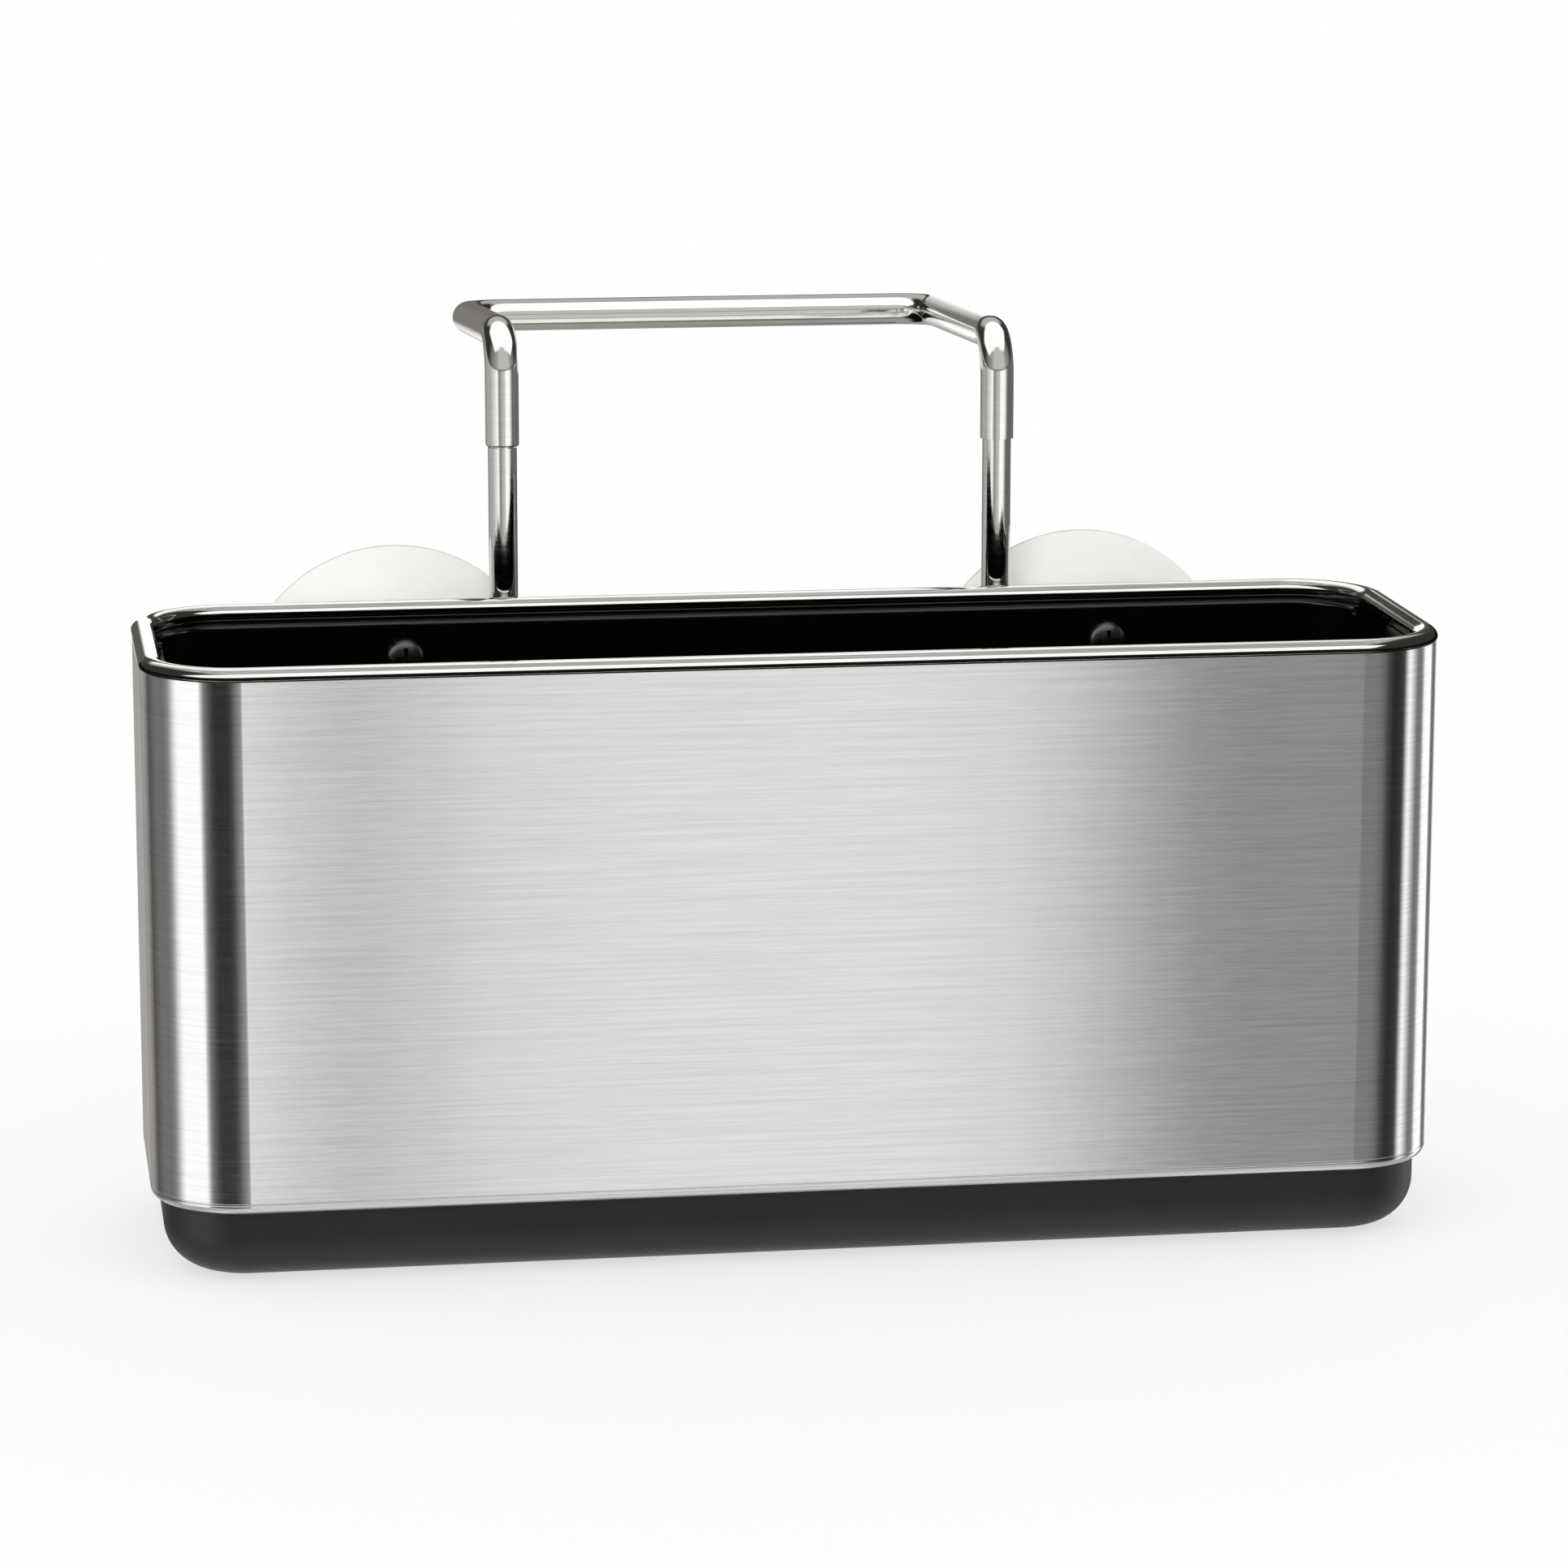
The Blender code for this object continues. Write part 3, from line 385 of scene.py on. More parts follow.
def satin_black_polypropylene():
    """Base, rack and brackets in black polypropylene: a fine spark-eroded grain turns highlights soft."""
    material, tree, shader = new_material("satin_black_polypropylene")
    shader_values(shader, IOR=1.49)
    grain = pattern(tree, (0.35, 0.35, 0.35), 2.0, 0.5)
    cloud = pattern(tree, (18.0, 18.0, 18.0), 2.0, 0.5)
    surface(tree, shader, cloud, ("1c1a18", "24211f"), grain, (0.42, 0.56), grain, 0.012)
    return material


def black_rubber():
    """Moulded nitrile of the pads: dull and slightly dusty. The same black is the painted shade of the ring
    in the gap under the rim.
    """
    material, tree, shader = new_material("black_rubber")
    shader_values(shader, IOR=1.52)
    dust = pattern(tree, (0.8, 0.8, 0.8), 4.0, 0.6)
    surface(tree, shader, dust, ("161616", "242424"), dust, (0.7, 0.9), dust, 0.02)
    return material


def frosted_pvc():
    """Soft milky PVC: light goes some way in and comes out blurred, and the skin has a dull shine."""
    material, tree, shader = new_material("frosted_pvc")
    shader_values(shader, IOR=1.5, Transmission_Weight=0.35)
    milk = pattern(tree, (6.0, 6.0, 6.0), 3.0, 0.5)
    surface(tree, shader, milk, ("f8f6f1", "fdfcfa"), milk, (0.28, 0.4), milk, 0.02)
    return material


def dark_nickel_screw_steel():
    """Pan-head screws in dark nickel, cold headed and tumbled: deep grey and slightly matt, with scuffs."""
    material, tree, shader = new_material("dark_nickel_screw_steel")
    shader_values(shader, Metallic=1.0)
    scuff = pattern(tree, (0.5, 0.5, 0.5), 4.0, 0.7)
    surface(tree, shader, scuff, ("545456", "68686a"), scuff, (0.28, 0.4), scuff, 0.006)
    return material


BRUSHED = brushed_stainless_steel()
POLISHED = polished_stainless_steel()
GLOSS = gloss_black_abs()
SATIN = satin_black_polypropylene()
# Rubber for the pads, and painted shade for the ring under the rim bead.
RUBBER_AND_PAINTED_SHADE = black_rubber()
MILKY = frosted_pvc()
SCREW = dark_nickel_screw_steel()


# Steel band and its trim

def tub_inset(z):
    """How far the tub's inner face lies inside the body's outline at a height."""
    return TUB_WALL + TUB_TAPER * (TUB_TOP - z) / (TUB_TOP - TUB_FLOOR)


def screw_spots(y_low, y_high, radius):
    """Round pins where the four screws go through the back."""
    shape = bmesh.new()
    for side in SIDES.values():
        for z in SCREW_HEIGHTS.values():
            barrel(shape, (side * CUP_X, 0, z), radius, y_low, y_high, axis=1)
    return shape


def make_sleeve():
    """The sheet, with a fine crease where its lower edge is rolled under."""
    sheet, roll = 0.6, 1.9
    crease = [(0, 16.45), (0.05, 16.3), (0.20, 16.2), (0.20, 16.1), (0.06, 16.0)]
    hem = arc((roll, SLEEVE_LOW + roll), roll, 180, 270, 10)
    lining = arc((roll, SLEEVE_LOW + roll), roll - sheet, 270, 180, 8)
    top = [(sheet, SLEEVE_TOP - 0.1), (sheet - 0.1, SLEEVE_TOP), (0.1, SLEEVE_TOP), (0, SLEEVE_TOP - 0.1)]
    shape = round_body(top + crease + hem + lining)
    holes = screw_spots(BODY_DEPTH / 2 - OVERRUN, BODY_DEPTH / 2 + OVERRUN, 2.3)
    finish_piece("steel_sleeve", carve(shape, holes), BRUSHED, "caddy", "sleeve")


def make_rim():
    """A crowned bead that overhangs the sheet a little, with a skirt inside it."""
    middle, crown, low = 2.05, 2.4, 116.43
    bead = arc((middle, low), crown, 160, 24, 24)
    outside = [(0.30, RIM_LOW), (0.0, RIM_LOW + 0.04), (-0.16, 116.72), (-0.225, 117.0)]
    inside = [(4.32, 117.2), (4.235, 116.73), (3.71, RIM_LOW)]
    skirt = [(1.5, RIM_LOW), (1.5, 113.5), (0.9, 113.5), (0.9, RIM_LOW)]
    shape = round_body(outside + bead + inside + skirt)
    finish_piece("rim_bead", shape, POLISHED, "caddy", "rim_trim")


def make_painted_shade_ring():
    """A black ring between the sheet and the bead: painted shade that darkens the gap under the bead into a
    dark line round the caddy.
    """
    outer, inner, low, high = 0.2, 0.85, SLEEVE_TOP + 0.01, RIM_LOW - 0.01
    shape = round_body([(outer, low), (outer, high), (inner, high), (inner, low)])
    finish_piece("rim_gasket", shape, RUBBER_AND_PAINTED_SHADE, "caddy", "liner")


# Tub

def make_tub():
    """The tub with its ledge, lip, screw bosses, drain slots and the shallow dips in its ends."""
    low, wall, fillet = tub_inset(TUB_FLOOR), 2.0, 4.0
    flange, flange_low, clip, clip_low = 0.9, 111.2, 1.8, 113.2
    step, ease, lip_round, hollow = 4.35, 0.25, 0.9, fillet - wall
    outside = [(low - wall + fillet - x, TUB_UNDER + fillet - y) for x, y in arc((0, 0), fillet, 90, 0, 8)]
    ledge = [
        (TUB_WALL - wall, flange_low), (flange, flange_low),
        (flange, clip_low), (clip, clip_low), (clip, TUB_STEP),
    ]
    ledge += arc((step - ease, TUB_STEP - ease), ease, 90, 0, 4)
    ledge += [(step, TUB_TOP + 0.08), (step + 0.1, TUB_TOP)]
    lip = arc((TUB_WALL - lip_round, TUB_TOP - lip_round), lip_round, 90, 0, 8)
    floor = [(low + hollow - x, TUB_FLOOR + hollow - y) for x, y in arc((0, 0), hollow, 0, 90, 8)]
    shape = round_body(outside + ledge + lip + floor, closed=False)

    bosses, boss, sunk, foot_low = bmesh.new(), 4.5, 1.0, 4.3
    for side in SIDES.values():
        for z in SCREW_HEIGHTS.values():
            inner = BODY_DEPTH / 2 - tub_inset(z) + sunk
            barrel(bosses, (side * CUP_X, 0, z), boss, inner, BODY_DEPTH / 2 - flange, 1)
        for y in FOOT_SCREW_ROWS.values():
            barrel(bosses, (side * FOOT_SCREW_X, y, 0), FOOT_BOSS, foot_low, TUB_UNDER + sunk)
    shape = carve(shape, bosses, "UNION")

    cuts = screw_spots(20, 40, 2.0)
    thread, dip_from, dip_to, dip_half, dip_deep = 1.6, 117.3, 125.2, 21, 1.6
    for side in SIDES.values():
        for y in FOOT_SCREW_ROWS.values():
            barrel(cuts, (side * FOOT_SCREW_X, y, 0), thread, 0, TUB_FLOOR - 1.2)
        dip_low = (side * dip_from, -dip_half, TUB_TOP - dip_deep)
        block(cuts, dip_low, (side * dip_to, dip_half, TUB_TOP + OVERRUN), 0.6, 0, 4)
    drains, pitch, half_width, half_length = 12, 15.5, 1.5, 12.8
    for slot in range(drains):
        x = pitch * (slot - (drains - 1) / 2)
        slot_low = (x - half_width, -half_length, TUB_UNDER - OVERRUN)
        block(cuts, slot_low, (x + half_width, half_length, TUB_FLOOR + OVERRUN), half_width - 0.01, 2, 8)
    finish_piece("moulded_tub", carve(shape, cuts), GLOSS, "caddy", "liner")


def make_base():
    """The dish that the body stands on, with its screw wells and drain slots."""
    inset, fillet, wall, ease = 2.3, 9.1, 2.0, 0.4
    outside = [(inset + fillet - x, fillet - y) for x, y in arc((0, 0), fillet, 90, 0, 20)]
    edge = [
        (inset, BASE_TOP - ease), (inset + ease, BASE_TOP),
        (inset + wall - ease, BASE_TOP), (inset + wall, BASE_TOP - ease),
    ]
    inside = [(inset + fillet - x, fillet - y) for x, y in arc((0, 0), fillet - wall, 0, 90, 16)]
    shape = round_body(outside + edge + inside, closed=False)
    spots = [(side * FOOT_SCREW_X, y, 0) for side in SIDES.values() for y in FOOT_SCREW_ROWS.values()]
    bosses, wells, cuts = bmesh.new(), bmesh.new(), bmesh.new()
    boss_top, well, well_top, hole = 4, 3.6, 2.3, 1.9
    for spot in spots:
        barrel(bosses, spot, FOOT_BOSS, 1, boss_top)
        barrel(wells, spot, well, -OVERRUN, well_top)
        barrel(cuts, spot, hole, 1.5, boss_top + OVERRUN)
    drains, pitch, half_length, half_width = 6, 34, 11, 2
    for slot in range(drains):
        x = pitch * (slot - (drains - 1) / 2)
        slot_low = (x - half_length, -half_width, -OVERRUN)
        block(cuts, slot_low, (x + half_length, half_width, wall + OVERRUN), half_width - 0.01, 2, 8)
    shape = carve(carve(carve(shape, bosses, "UNION"), wells), cuts)
    finish_piece("base_dish", shape, SATIN, "caddy", "base_tray")


# Hook

def make_loop():
    """The tube loop: open ends with a small eased edge, then bends to the rear bar."""
    shape = bmesh.new()
    corners = [
        (-HOOK_X, HOOK_Y, LOOP_END_Z), (-HOOK_X, HOOK_Y, LOOP_FRONT_Z), (-HOOK_X, LOOP_REAR_Y, LOOP_REAR_Z),
        (HOOK_X, LOOP_REAR_Y, LOOP_REAR_Z), (HOOK_X, HOOK_Y, LOOP_FRONT_Z - LOOP_RIGHT_LOWER),
        (HOOK_X, HOOK_Y, LOOP_END_Z),
    ]
    for radius in (TUBE_RADIUS, TUBE_BORE):
        rod_along(shape, radius, corners, LOOP_BEND)
    for side in SIDES.values():
        ends = [e for e in shape.edges if e.is_boundary and e.verts[0].co.x * side > 0]
        bmesh.ops.bridge_loops(shape, edges=ends)

    def at_end(vert):
        """On the outer edge of one of the tube's open ends."""
        out = math.hypot(abs(vert.co.x) - HOOK_X, vert.co.y - HOOK_Y)
        return abs(vert.co.z - LOOP_END_Z) < TOUCH and abs(out - TUBE_RADIUS) < TOUCH

    bevel(shape, [e for e in shape.edges if all(map(at_end, e.verts))], 0.5, 4)
    finish_piece("hook_tube", shape, POLISHED, "hook", "hook_loop")


def make_stem():
    """The rod whose ends are turned down to plug into the tube."""
    shape = bmesh.new()
    top = LOOP_END_Z - 0.3
    corners = [
        (-HOOK_X, HOOK_Y, top), (-HOOK_X, HOOK_Y, STEM_LOW_Z),
        (HOOK_X, HOOK_Y, STEM_LOW_Z), (HOOK_X, HOOK_Y, top),
    ]
    rod_along(shape, ROD_RADIUS, corners, STEM_BEND)
    caps = bmesh.ops.holes_fill(shape, edges=[e for e in shape.edges if e.is_boundary], sides=0)["faces"]
    bmesh.ops.inset_individual(shape, faces=caps, thickness=ROD_RADIUS - PLUG_RADIUS)
    for face in caps:
        plug = bmesh.ops.extrude_discrete_faces(shape, faces=[face])["faces"]
        bmesh.ops.translate(shape, vec=(0, 0, PLUG_LENGTH), verts=list(plug[0].verts))
        bevel(shape, list(plug[0].edges), 0.6, 3)
    finish_piece("hook_rod", shape, POLISHED, "hook", "hook_stem")


# Brackets, pads and cups

def make_bracket(label, side):
    """A rounded block on the back that holds the cup and guides one leg of the hook."""
    low = Vector((side * BRACKET_LOW[0], *BRACKET_LOW[1:]))
    high = Vector((side * BRACKET_HIGH[0], *BRACKET_HIGH[1:]))
    before, channel, leg = 35, 3.2, side * HOOK_X
    shape = block(bmesh.new(), low, high, 8.0, 1, 10)
    rear = [e for e in shape.edges if all(abs(v.co.y - high.y) < TOUCH for v in e.verts)]
    bevel(shape, rear, 2.5, 6)
    pocket = block(bmesh.new(), (side * 55.5, before, 85.5), (side * 87.2, 45.6, 103.5), 2.2, 1, 5)
    shape = carve(shape, pocket)
    shape = carve(shape, barrel(bmesh.new(), (leg, HOOK_Y, 0), channel, 70, 120))
    shape = carve(shape, block(bmesh.new(), (leg - channel, before, 70), (leg + channel, HOOK_Y, 120)))
    holes = bmesh.new()
    for z in SCREW_HEIGHTS.values():
        barrel(holes, (side * CUP_X, 0, z), 2.0, before, 44.3, 1)
    barrel(holes, (side * CUP_X, 0, CUP_Z), 3.4, 44, 50, 1)
    shape = carve(shape, holes)
    name = f"bracket_{label}_moulding"
    finish_piece(name, shape, SATIN, "caddy", "bracket_" + label, ease=0.25)


def make_pad(label, side):
    """A flat rubber pad that presses on the rod from the front."""
    half_width, thickness, end_gap = 2.9, 1.5, 2.0
    low = (side * HOOK_X - half_width, BRACKET_LOW[1], BRACKET_LOW[2] + end_gap)
    high = (side * HOOK_X + half_width, BRACKET_LOW[1] + thickness, BRACKET_HIGH[2] - end_gap)
    shape = block(bmesh.new(), low, high, 0.5, 1, 3)
    finish_piece(f"pad_{label}", shape, RUBBER_AND_PAINTED_SHADE, "caddy", "rod_pad_" + label, ease=0.15)


def make_cup(label, side):
    """The cup is turned about its axis: nub, neck, hub, bell and thin lip, then the hollow."""
    face, seal, web, radius, hub, lip_edge, lip_width = 50.0, 60.0, 53.0, 31.5, 4.5, 1.2, 3.0
    outer, inner = [], []
    for step in range(1, 24):
        share = step / 24
        fall = share ** 1.6
        outer.append((hub + (radius - hub) * share, face + (seal - lip_edge - face) * fall))
        inner.append((hub + (radius - lip_width - hub) * share, web + (seal - web) * fall))
    front = [
        (0, 42.3), (2.3, 42.3), (3.4, 42.6), (4.4, 43.3), (4.7, 44.2), (4.7, 45.3), (3.1, 45.3), (3.1, 48.1),
        (4.1, 48.1), (hub, 48.5), (hub, face),
    ]
    lip = [(radius, seal - lip_edge), (radius, seal), (radius - lip_width, seal)]
    profile = front + outer + lip + inner[::-1] + [(0, web)]
    lay_back = Matrix.Translation((side * CUP_X, 0, CUP_Z)) @ Matrix.Rotation(-math.pi / 2, 4, "X")
    shape = turned(profile, lay_back, 128)
    finish_piece(f"cup_{label}", shape, MILKY, "caddy", "suction_cup_" + label)


# Screws

def make_screw(name, node, seat, direction, size):
    """A pan head with a cross recess on a shank with a pointed end."""
    head, rise, shank, length = size
    half, edge, point = head / 2, 0.15, 1.2
    rim = rise * 0.45
    profile = []
    for step in range(11):
        angle = math.pi / 2 * step / 10
        profile.append((half * math.sin(angle), -rim - (rise - rim) * math.cos(angle)))
    profile += [
        (half, -edge), (half - edge, 0), (shank / 2, 0),
        (shank / 2, length - point), (shank / 6, length), (0, length),
    ]
    turn = Vector((0, 0, 1)).rotation_difference(Vector(direction)).to_matrix().to_4x4()
    seated = Matrix.Translation(seat) @ turn
    shape = turned(profile, seated, 48)
    arm, thin = head * 0.30, head * 0.055
    cross = [
        (arm, -thin), (arm, thin), (thin, thin), (thin, arm), (-thin, arm), (-thin, thin),
        (-arm, thin), (-arm, -thin), (-thin, -thin), (-thin, -arm), (thin, -arm), (thin, -thin),
    ]
    recess = slab(cross, 2, -rise - OVERRUN, -rim)
    bmesh.ops.transform(recess, matrix=seated, verts=recess.verts[:])
    finish_piece(name, carve(shape, recess), SCREW, "caddy", node)


def make_screws():
    for label, side in SIDES.items():
        for level, z in SCREW_HEIGHTS.items():
            seat = (side * CUP_X, BODY_DEPTH / 2 - tub_inset(z) - 0.3, z)
            spot = f"{label}_{level}"
            make_screw("pan_screw_" + spot, "back_screw_" + spot, seat, (0, 1, 0), BACK_SCREW)
        for end, y in FOOT_SCREW_ROWS.items():
            seat, spot = (side * FOOT_SCREW_X, y, 2.0), f"{label}_{end}"
            make_screw("foot_screw_" + spot, "base_screw_" + spot, seat, (0, 0, 1), FOOT_SCREW)


# Sponge rack

def make_rack():
    """A slotted deck with one bent end, on two windowed legs, with a low upstand towards the open half."""
    half, inner = RACK_DEPTH / 2, RACK_LEFT + RACK_WALL
    bend = (RACK_RIGHT - RACK_BEND, RACK_TOP - RACK_BEND)
    profile = [(RACK_LEFT, RACK_FOOT), (inner, RACK_FOOT), (inner, RACK_TOP - RACK_WALL)]
    profile += arc(bend, RACK_BEND - RACK_WALL, 90, 0, 10)
    profile += [(RACK_RIGHT - RACK_WALL, RACK_FOOT), (RACK_RIGHT, RACK_FOOT)]
    profile += arc(bend, RACK_BEND, 0, 90, 12)
    profile += [(inner, RACK_TOP), (inner, RACK_TOP + RACK_UPSTAND), (RACK_LEFT, RACK_TOP + RACK_UPSTAND)]
    shape = slab(profile, 1, -half, half)
    plan = block(bmesh.new(), (RACK_LEFT - 20, -half, RACK_FOOT - 2), (RACK_RIGHT, half, 99), 11, 2, 12)
    shape = carve(shape, plan, "INTERSECT")
    side_view = block(bmesh.new(), (RACK_LEFT - 2, -half, RACK_FOOT), (RACK_RIGHT + 2, half, 150), 7, 0, 10)
    shape = carve(shape, side_view, "INTERSECT")
    cuts = bmesh.new()
    middle = (inner + RACK_RIGHT - RACK_BEND) / 2
    slots, pitch, half_width, half_length, clear = 8, 12.5, 2.5, 20, 5
    for slot in range(slots):
        x = middle + pitch * (slot - (slots - 1) / 2)
        slot_low = (x - half_width, -half_length, RACK_TOP - clear)
        block(cuts, slot_low, (x + half_width, half_length, RACK_TOP + clear), half_width - 0.01, 2, 8)
    window_half, window_low, window_high, window_round = 15, 22.3, 71.5, 6
    for x in (RACK_LEFT, RACK_RIGHT - RACK_WALL):
        low = (x - OVERRUN, -window_half, window_low)
        block(cuts, low, (x + RACK_WALL + OVERRUN, window_half, window_high), window_round, 0, 8)
    shape = carve(shape, cuts)
    finish_piece("slotted_rack", shape, SATIN, "rack", "sponge_rack", ease=0.3)


make_sleeve()
make_rim()
# The black ring under the bead is painted shade for the gap there.
make_painted_shade_ring()
make_tub()
make_base()
make_loop()
make_stem()
for cup_label, cup_side in SIDES.items():
    make_bracket(cup_label, cup_side)
    make_pad(cup_label, cup_side)
    make_cup(cup_label, cup_side)
make_screws()
make_rack()


# Studio

# Brightness of what reflections see in front of the caddy and behind it, by degrees above the table.
OVERHEAD = ((80, .52), (84, .30), (87, .50), (90, .36))
FRONT_LIFT = ((0, .02), (60, .02), (67, .30), (69, .32), (72, .50), (76, .28), *OVERHEAD)
BACK_LIFT = (
    (0, .05), (22, .05), (28, .40), (62, .40), (66, .50), (69, .26), (72, .46), (76, .27), *OVERHEAD,
)

# Boxes, panels and cards that light one part of the caddy alone, by compass angle from the camera's side (0)
# towards the caddy's right (positive) and left (negative). Angles over 180 go on round the back.
LEFT_BOX = (
    (-164, 0), (-158, .29), (-150, .25), (-142, .19), (-134, .065), (-118, .14), (-102, .14), (-95, .21),
    (-91, .35), (-87, .62), (-80, .95), (-57, .96), (-51, .96), (-47.5, .40), (-44, .14), (-37, .035),
    (-32, .004), (-30, 0),
)
FRONT_PANEL = (
    (-17, 0), (-12, .03), (-5, .17), (0, .28), (1.8, .84), (2.8, .84), (3.1, .40), (4.0, .40), (4.6, .575),
    (5.4, .68), (6.2, .70), (10.9, .72), (11.9, .61), (12.9, .22), (13.8, .115), (14.3, .34), (14.75, .42),
    (14.95, .165), (32, .17), (40, .135), (48, .04), (56, .008), (66, .02), (72, .03), (76, 0),
)
RIGHT_BOX = (
    (71, 0), (79, .93), (83, .77), (87, .50), (94, .15), (104, .15), (110, .89), (127, .97), (131.5, .13),
    (135, .17), (143, .06), (151, .38), (158, .40), (164, 0),
)
TABLE_LIGHT = ((-179, 0), (-178, .40), (-60, .34), (0, .52), (60, .34), (178, .40), (179, 0))
RIM_SIDE = ((163.6, 0), (165.2, .88), (186, .88), (190, 0))
RIM_BACK = ((150, 0), (160, .55), (200, .55), (210, 0))
LEG_CARD = (
    (-166, 0), (-160, .13), (-150, .20), (-128, .31), (-124, .35), (-89, .37), (-75, .50), (-57, .69),
    (-50, .78), (-46, .86), (-39, .94), (-36, .74), (-33, .50), (-28, .22), (-16, .30), (-5, .44), (0, .48),
    (13, .50), (16, .90), (19, .94), (39, .94), (45, .88), (51, .72), (58, .42), (64, .22), (72, .12),
    (150, .12), (156, 0),
)
REAR_CARD = ((174, 0), (182, .35), (192, .35), (198, 0))
LOW_REAR = ((163, 0), (165, .03), (180, .04), (187, .07), (195, .07), (197, 0))
ARM_CARD = ((164, 0), (167, .65), (171.5, .70), (176, .56), (180, .36), (183, .30), (186, .15), (189, 0))
BEND_CARD = ((-100, 0), (-80, .12), (-40, .30), (-25, .46), (40, .46), (60, .25), (90, .10), (100, 0))
BAR_CARD = ((0, 0), (2, .60), (8, .52), (14, .48), (16, 0))
BAR_STRIP = ((-2.6, 0), (-2.4, .40), (2.4, .40), (2.6, 0))

# Curved cards: what sees it, the place it stands round, its radius, its lowest and highest angle, its tones
# and how soft its edges are, in degrees.
BODY_CENTRE = (0, 0, 66)
HOOK_REAR = (0, HOOK_Y, 168)
CARDS = {
    "left_box": ("body", BODY_CENTRE, 30000, (-32, 32), LEFT_BOX, 3),
    "front_panel": ("body", BODY_CENTRE, 30000, (-32, 8), FRONT_PANEL, 3),
    "right_box": ("body", BODY_CENTRE, 30000, (-32, 32), RIGHT_BOX, 3),
    "table_light": ("body", BODY_CENTRE, 30000, (-80, -26), TABLE_LIGHT, 3),
    "rim_side": ("rim", BODY_CENTRE, 2000, (-10.5, 17), RIM_SIDE, 1.5),
    "rim_back": ("rim", BODY_CENTRE, 2000, (24, 70), RIM_BACK, 2),
    "leg_card": ("hook", (0, HOOK_Y, 148), 900, (-24, 10), LEG_CARD, 2),
    "rear_card": ("hook", HOOK_REAR, 900, (-20, -7), REAR_CARD, 1.5),
    "low_rear": ("hook", HOOK_REAR, 900, (-10, 14), LOW_REAR, 1.5),
    "arm_card": ("hook", (HOOK_X, 80, 168), 200, (-9, 13), ARM_CARD, 1.5),
    "bend_card": ("hook", (0, 60, 165), 900, (6, 54), BEND_CARD, 3),
    "bar_card": ("hook", (0, 120, 165), 900, (-64, -24), BAR_CARD, 3),
    "bar_strip": ("hook", (0, 1110, 162), 1000, (-0.5, 0.1), BAR_STRIP, .03),
}

# Level soft boxes: what sees it, its height, its reach in X and in Y, and how soft its edges are, in metres.
OVERHEADS = {
    "rim_top": ("rim", 1.065, (-1.35, -0.55), (-0.4, 0.35), 0.05),
    "front_top": ("rim_and_body", 1.065, (-1.9, 0.8), (-1.75, -0.46), 0.05),
    "hook_top": ("hook", 0.28, (-0.17, 0.17), (-0.04, 0.13), 0.02),
}
OVERHEAD_TONE = .95
OVERHEAD_HALF = 2.0

# The dome that reflections see beyond the boxes: its tones, and where one goes over to the next
SIDE_TONE = .03
AROUND_TONE = .004
BEHIND_TONE = .28
LOW_BEHIND_TONE = .08
FLOOR_TONE = .3
OVER_THE_TOP = (-0.15, 0.05)
TO_THE_SIDES = (0.38, 0.55)
TO_THE_REAR = (160.0, 166.0)
TO_THE_SKY = (3.0, 9.0)
TO_THE_FLOOR = (-55.0, -75.0)
LOW_BAND = (-9.0, 12.5, 1.5)

# Light is set by the tone it shows in the steel, which gives back only this share. Darker tones are warmer.
STEEL_GIVES_BACK = 0.65
WARM_GREY = "fff9f1"
WARM_TO_WHITE = (0.1, 0.55)
DUSK_BELOW = 0.6
DUSK_TAKES = (0.0, 0.05, 0.12)

CUP_LAMP_WATTS = 6.0
CUP_LAMP_PLACE = (-0.25, -0.9, 0.55)
CUP_LAMP_SIZE = 0.6
CUP_LAMP_ASIDE = math.radians(-15)
CUP_LAMP_DOWN = math.radians(65)

# White sweep: its grey, its glow towards the camera and the share of that glow
FLOOR_HALF = 6.0
FLOOR_DROP = 0.0002
FLOOR_GREY = 0.9
FLOOR_GLOW = 1.06
FLOOR_GLOW_SHARE = 0.62

# The photograph's view: turns in degrees, place in millimetres
VIEW_SIDE, VIEW_LIFT, VIEW_ROLL = -8.591, 11.541, 0.055
VIEW_PLACE = (-156.79, -1040.0, 301.35)
VIEW_LENS = 126.15


def ramp(tree, value, stops, start, end):
    """A tone for each angle between two angles. The darker it is, the warmer."""
    along = add(tree, "ShaderNodeMapRange", {"Value": value, "From Min": start, "From Max": end})
    made = add(tree, "ShaderNodeValToRGB", {"Fac": along.outputs["Result"]})
    band = made.color_ramp
    for angle, tone in stops[1:-1]:
        band.elements.new((angle - start) / (end - start))
    for element, (angle, tone) in zip(band.elements, stops):
        element.position = (angle - start) / (end - start)
        dusk = max(0.0, DUSK_BELOW - tone)
        element.color = (*(tone * (1 - taken * dusk) for taken in DUSK_TAKES), 1)
    return made.outputs["Color"]


def grey(tone):
    return (tone, tone, tone, 1)


def slope(tree, rise, run):
    """The angle of a slope in degrees."""
    turn = add(tree, "ShaderNodeMath", {0: rise, 1: run}, operation="ARCTAN2").outputs[0]
    return add(tree, "ShaderNodeMath", {0: turn}, operation="DEGREES").outputs[0]


def fade(tree, value, span, first, second):
    """Goes softly from one colour to another while a value crosses a span."""
    start, end = span
    inputs = {"Value": value, "From Min": start, "From Max": end}
    share = add(tree, "ShaderNodeMapRange", inputs, interpolation_type="SMOOTHSTEP").outputs["Result"]
    return add(tree, "ShaderNodeMix", {"Factor": share, 6: first, 7: second}, data_type="RGBA").outputs[2]


def window(tree, value, start, end, soft):
    """One between two values and zero outside them, with soft edges."""
    sides = []
    for outside, inside in ((start - soft, start + soft), (end + soft, end - soft)):
        inputs = {"Value": value, "From Min": outside, "From Max": inside}
        side = add(tree, "ShaderNodeMapRange", inputs, interpolation_type="SMOOTHSTEP")
        sides.append(side.outputs["Result"])
    return add(tree, "ShaderNodeMath", dict(enumerate(sides)), operation="MULTIPLY").outputs[0]


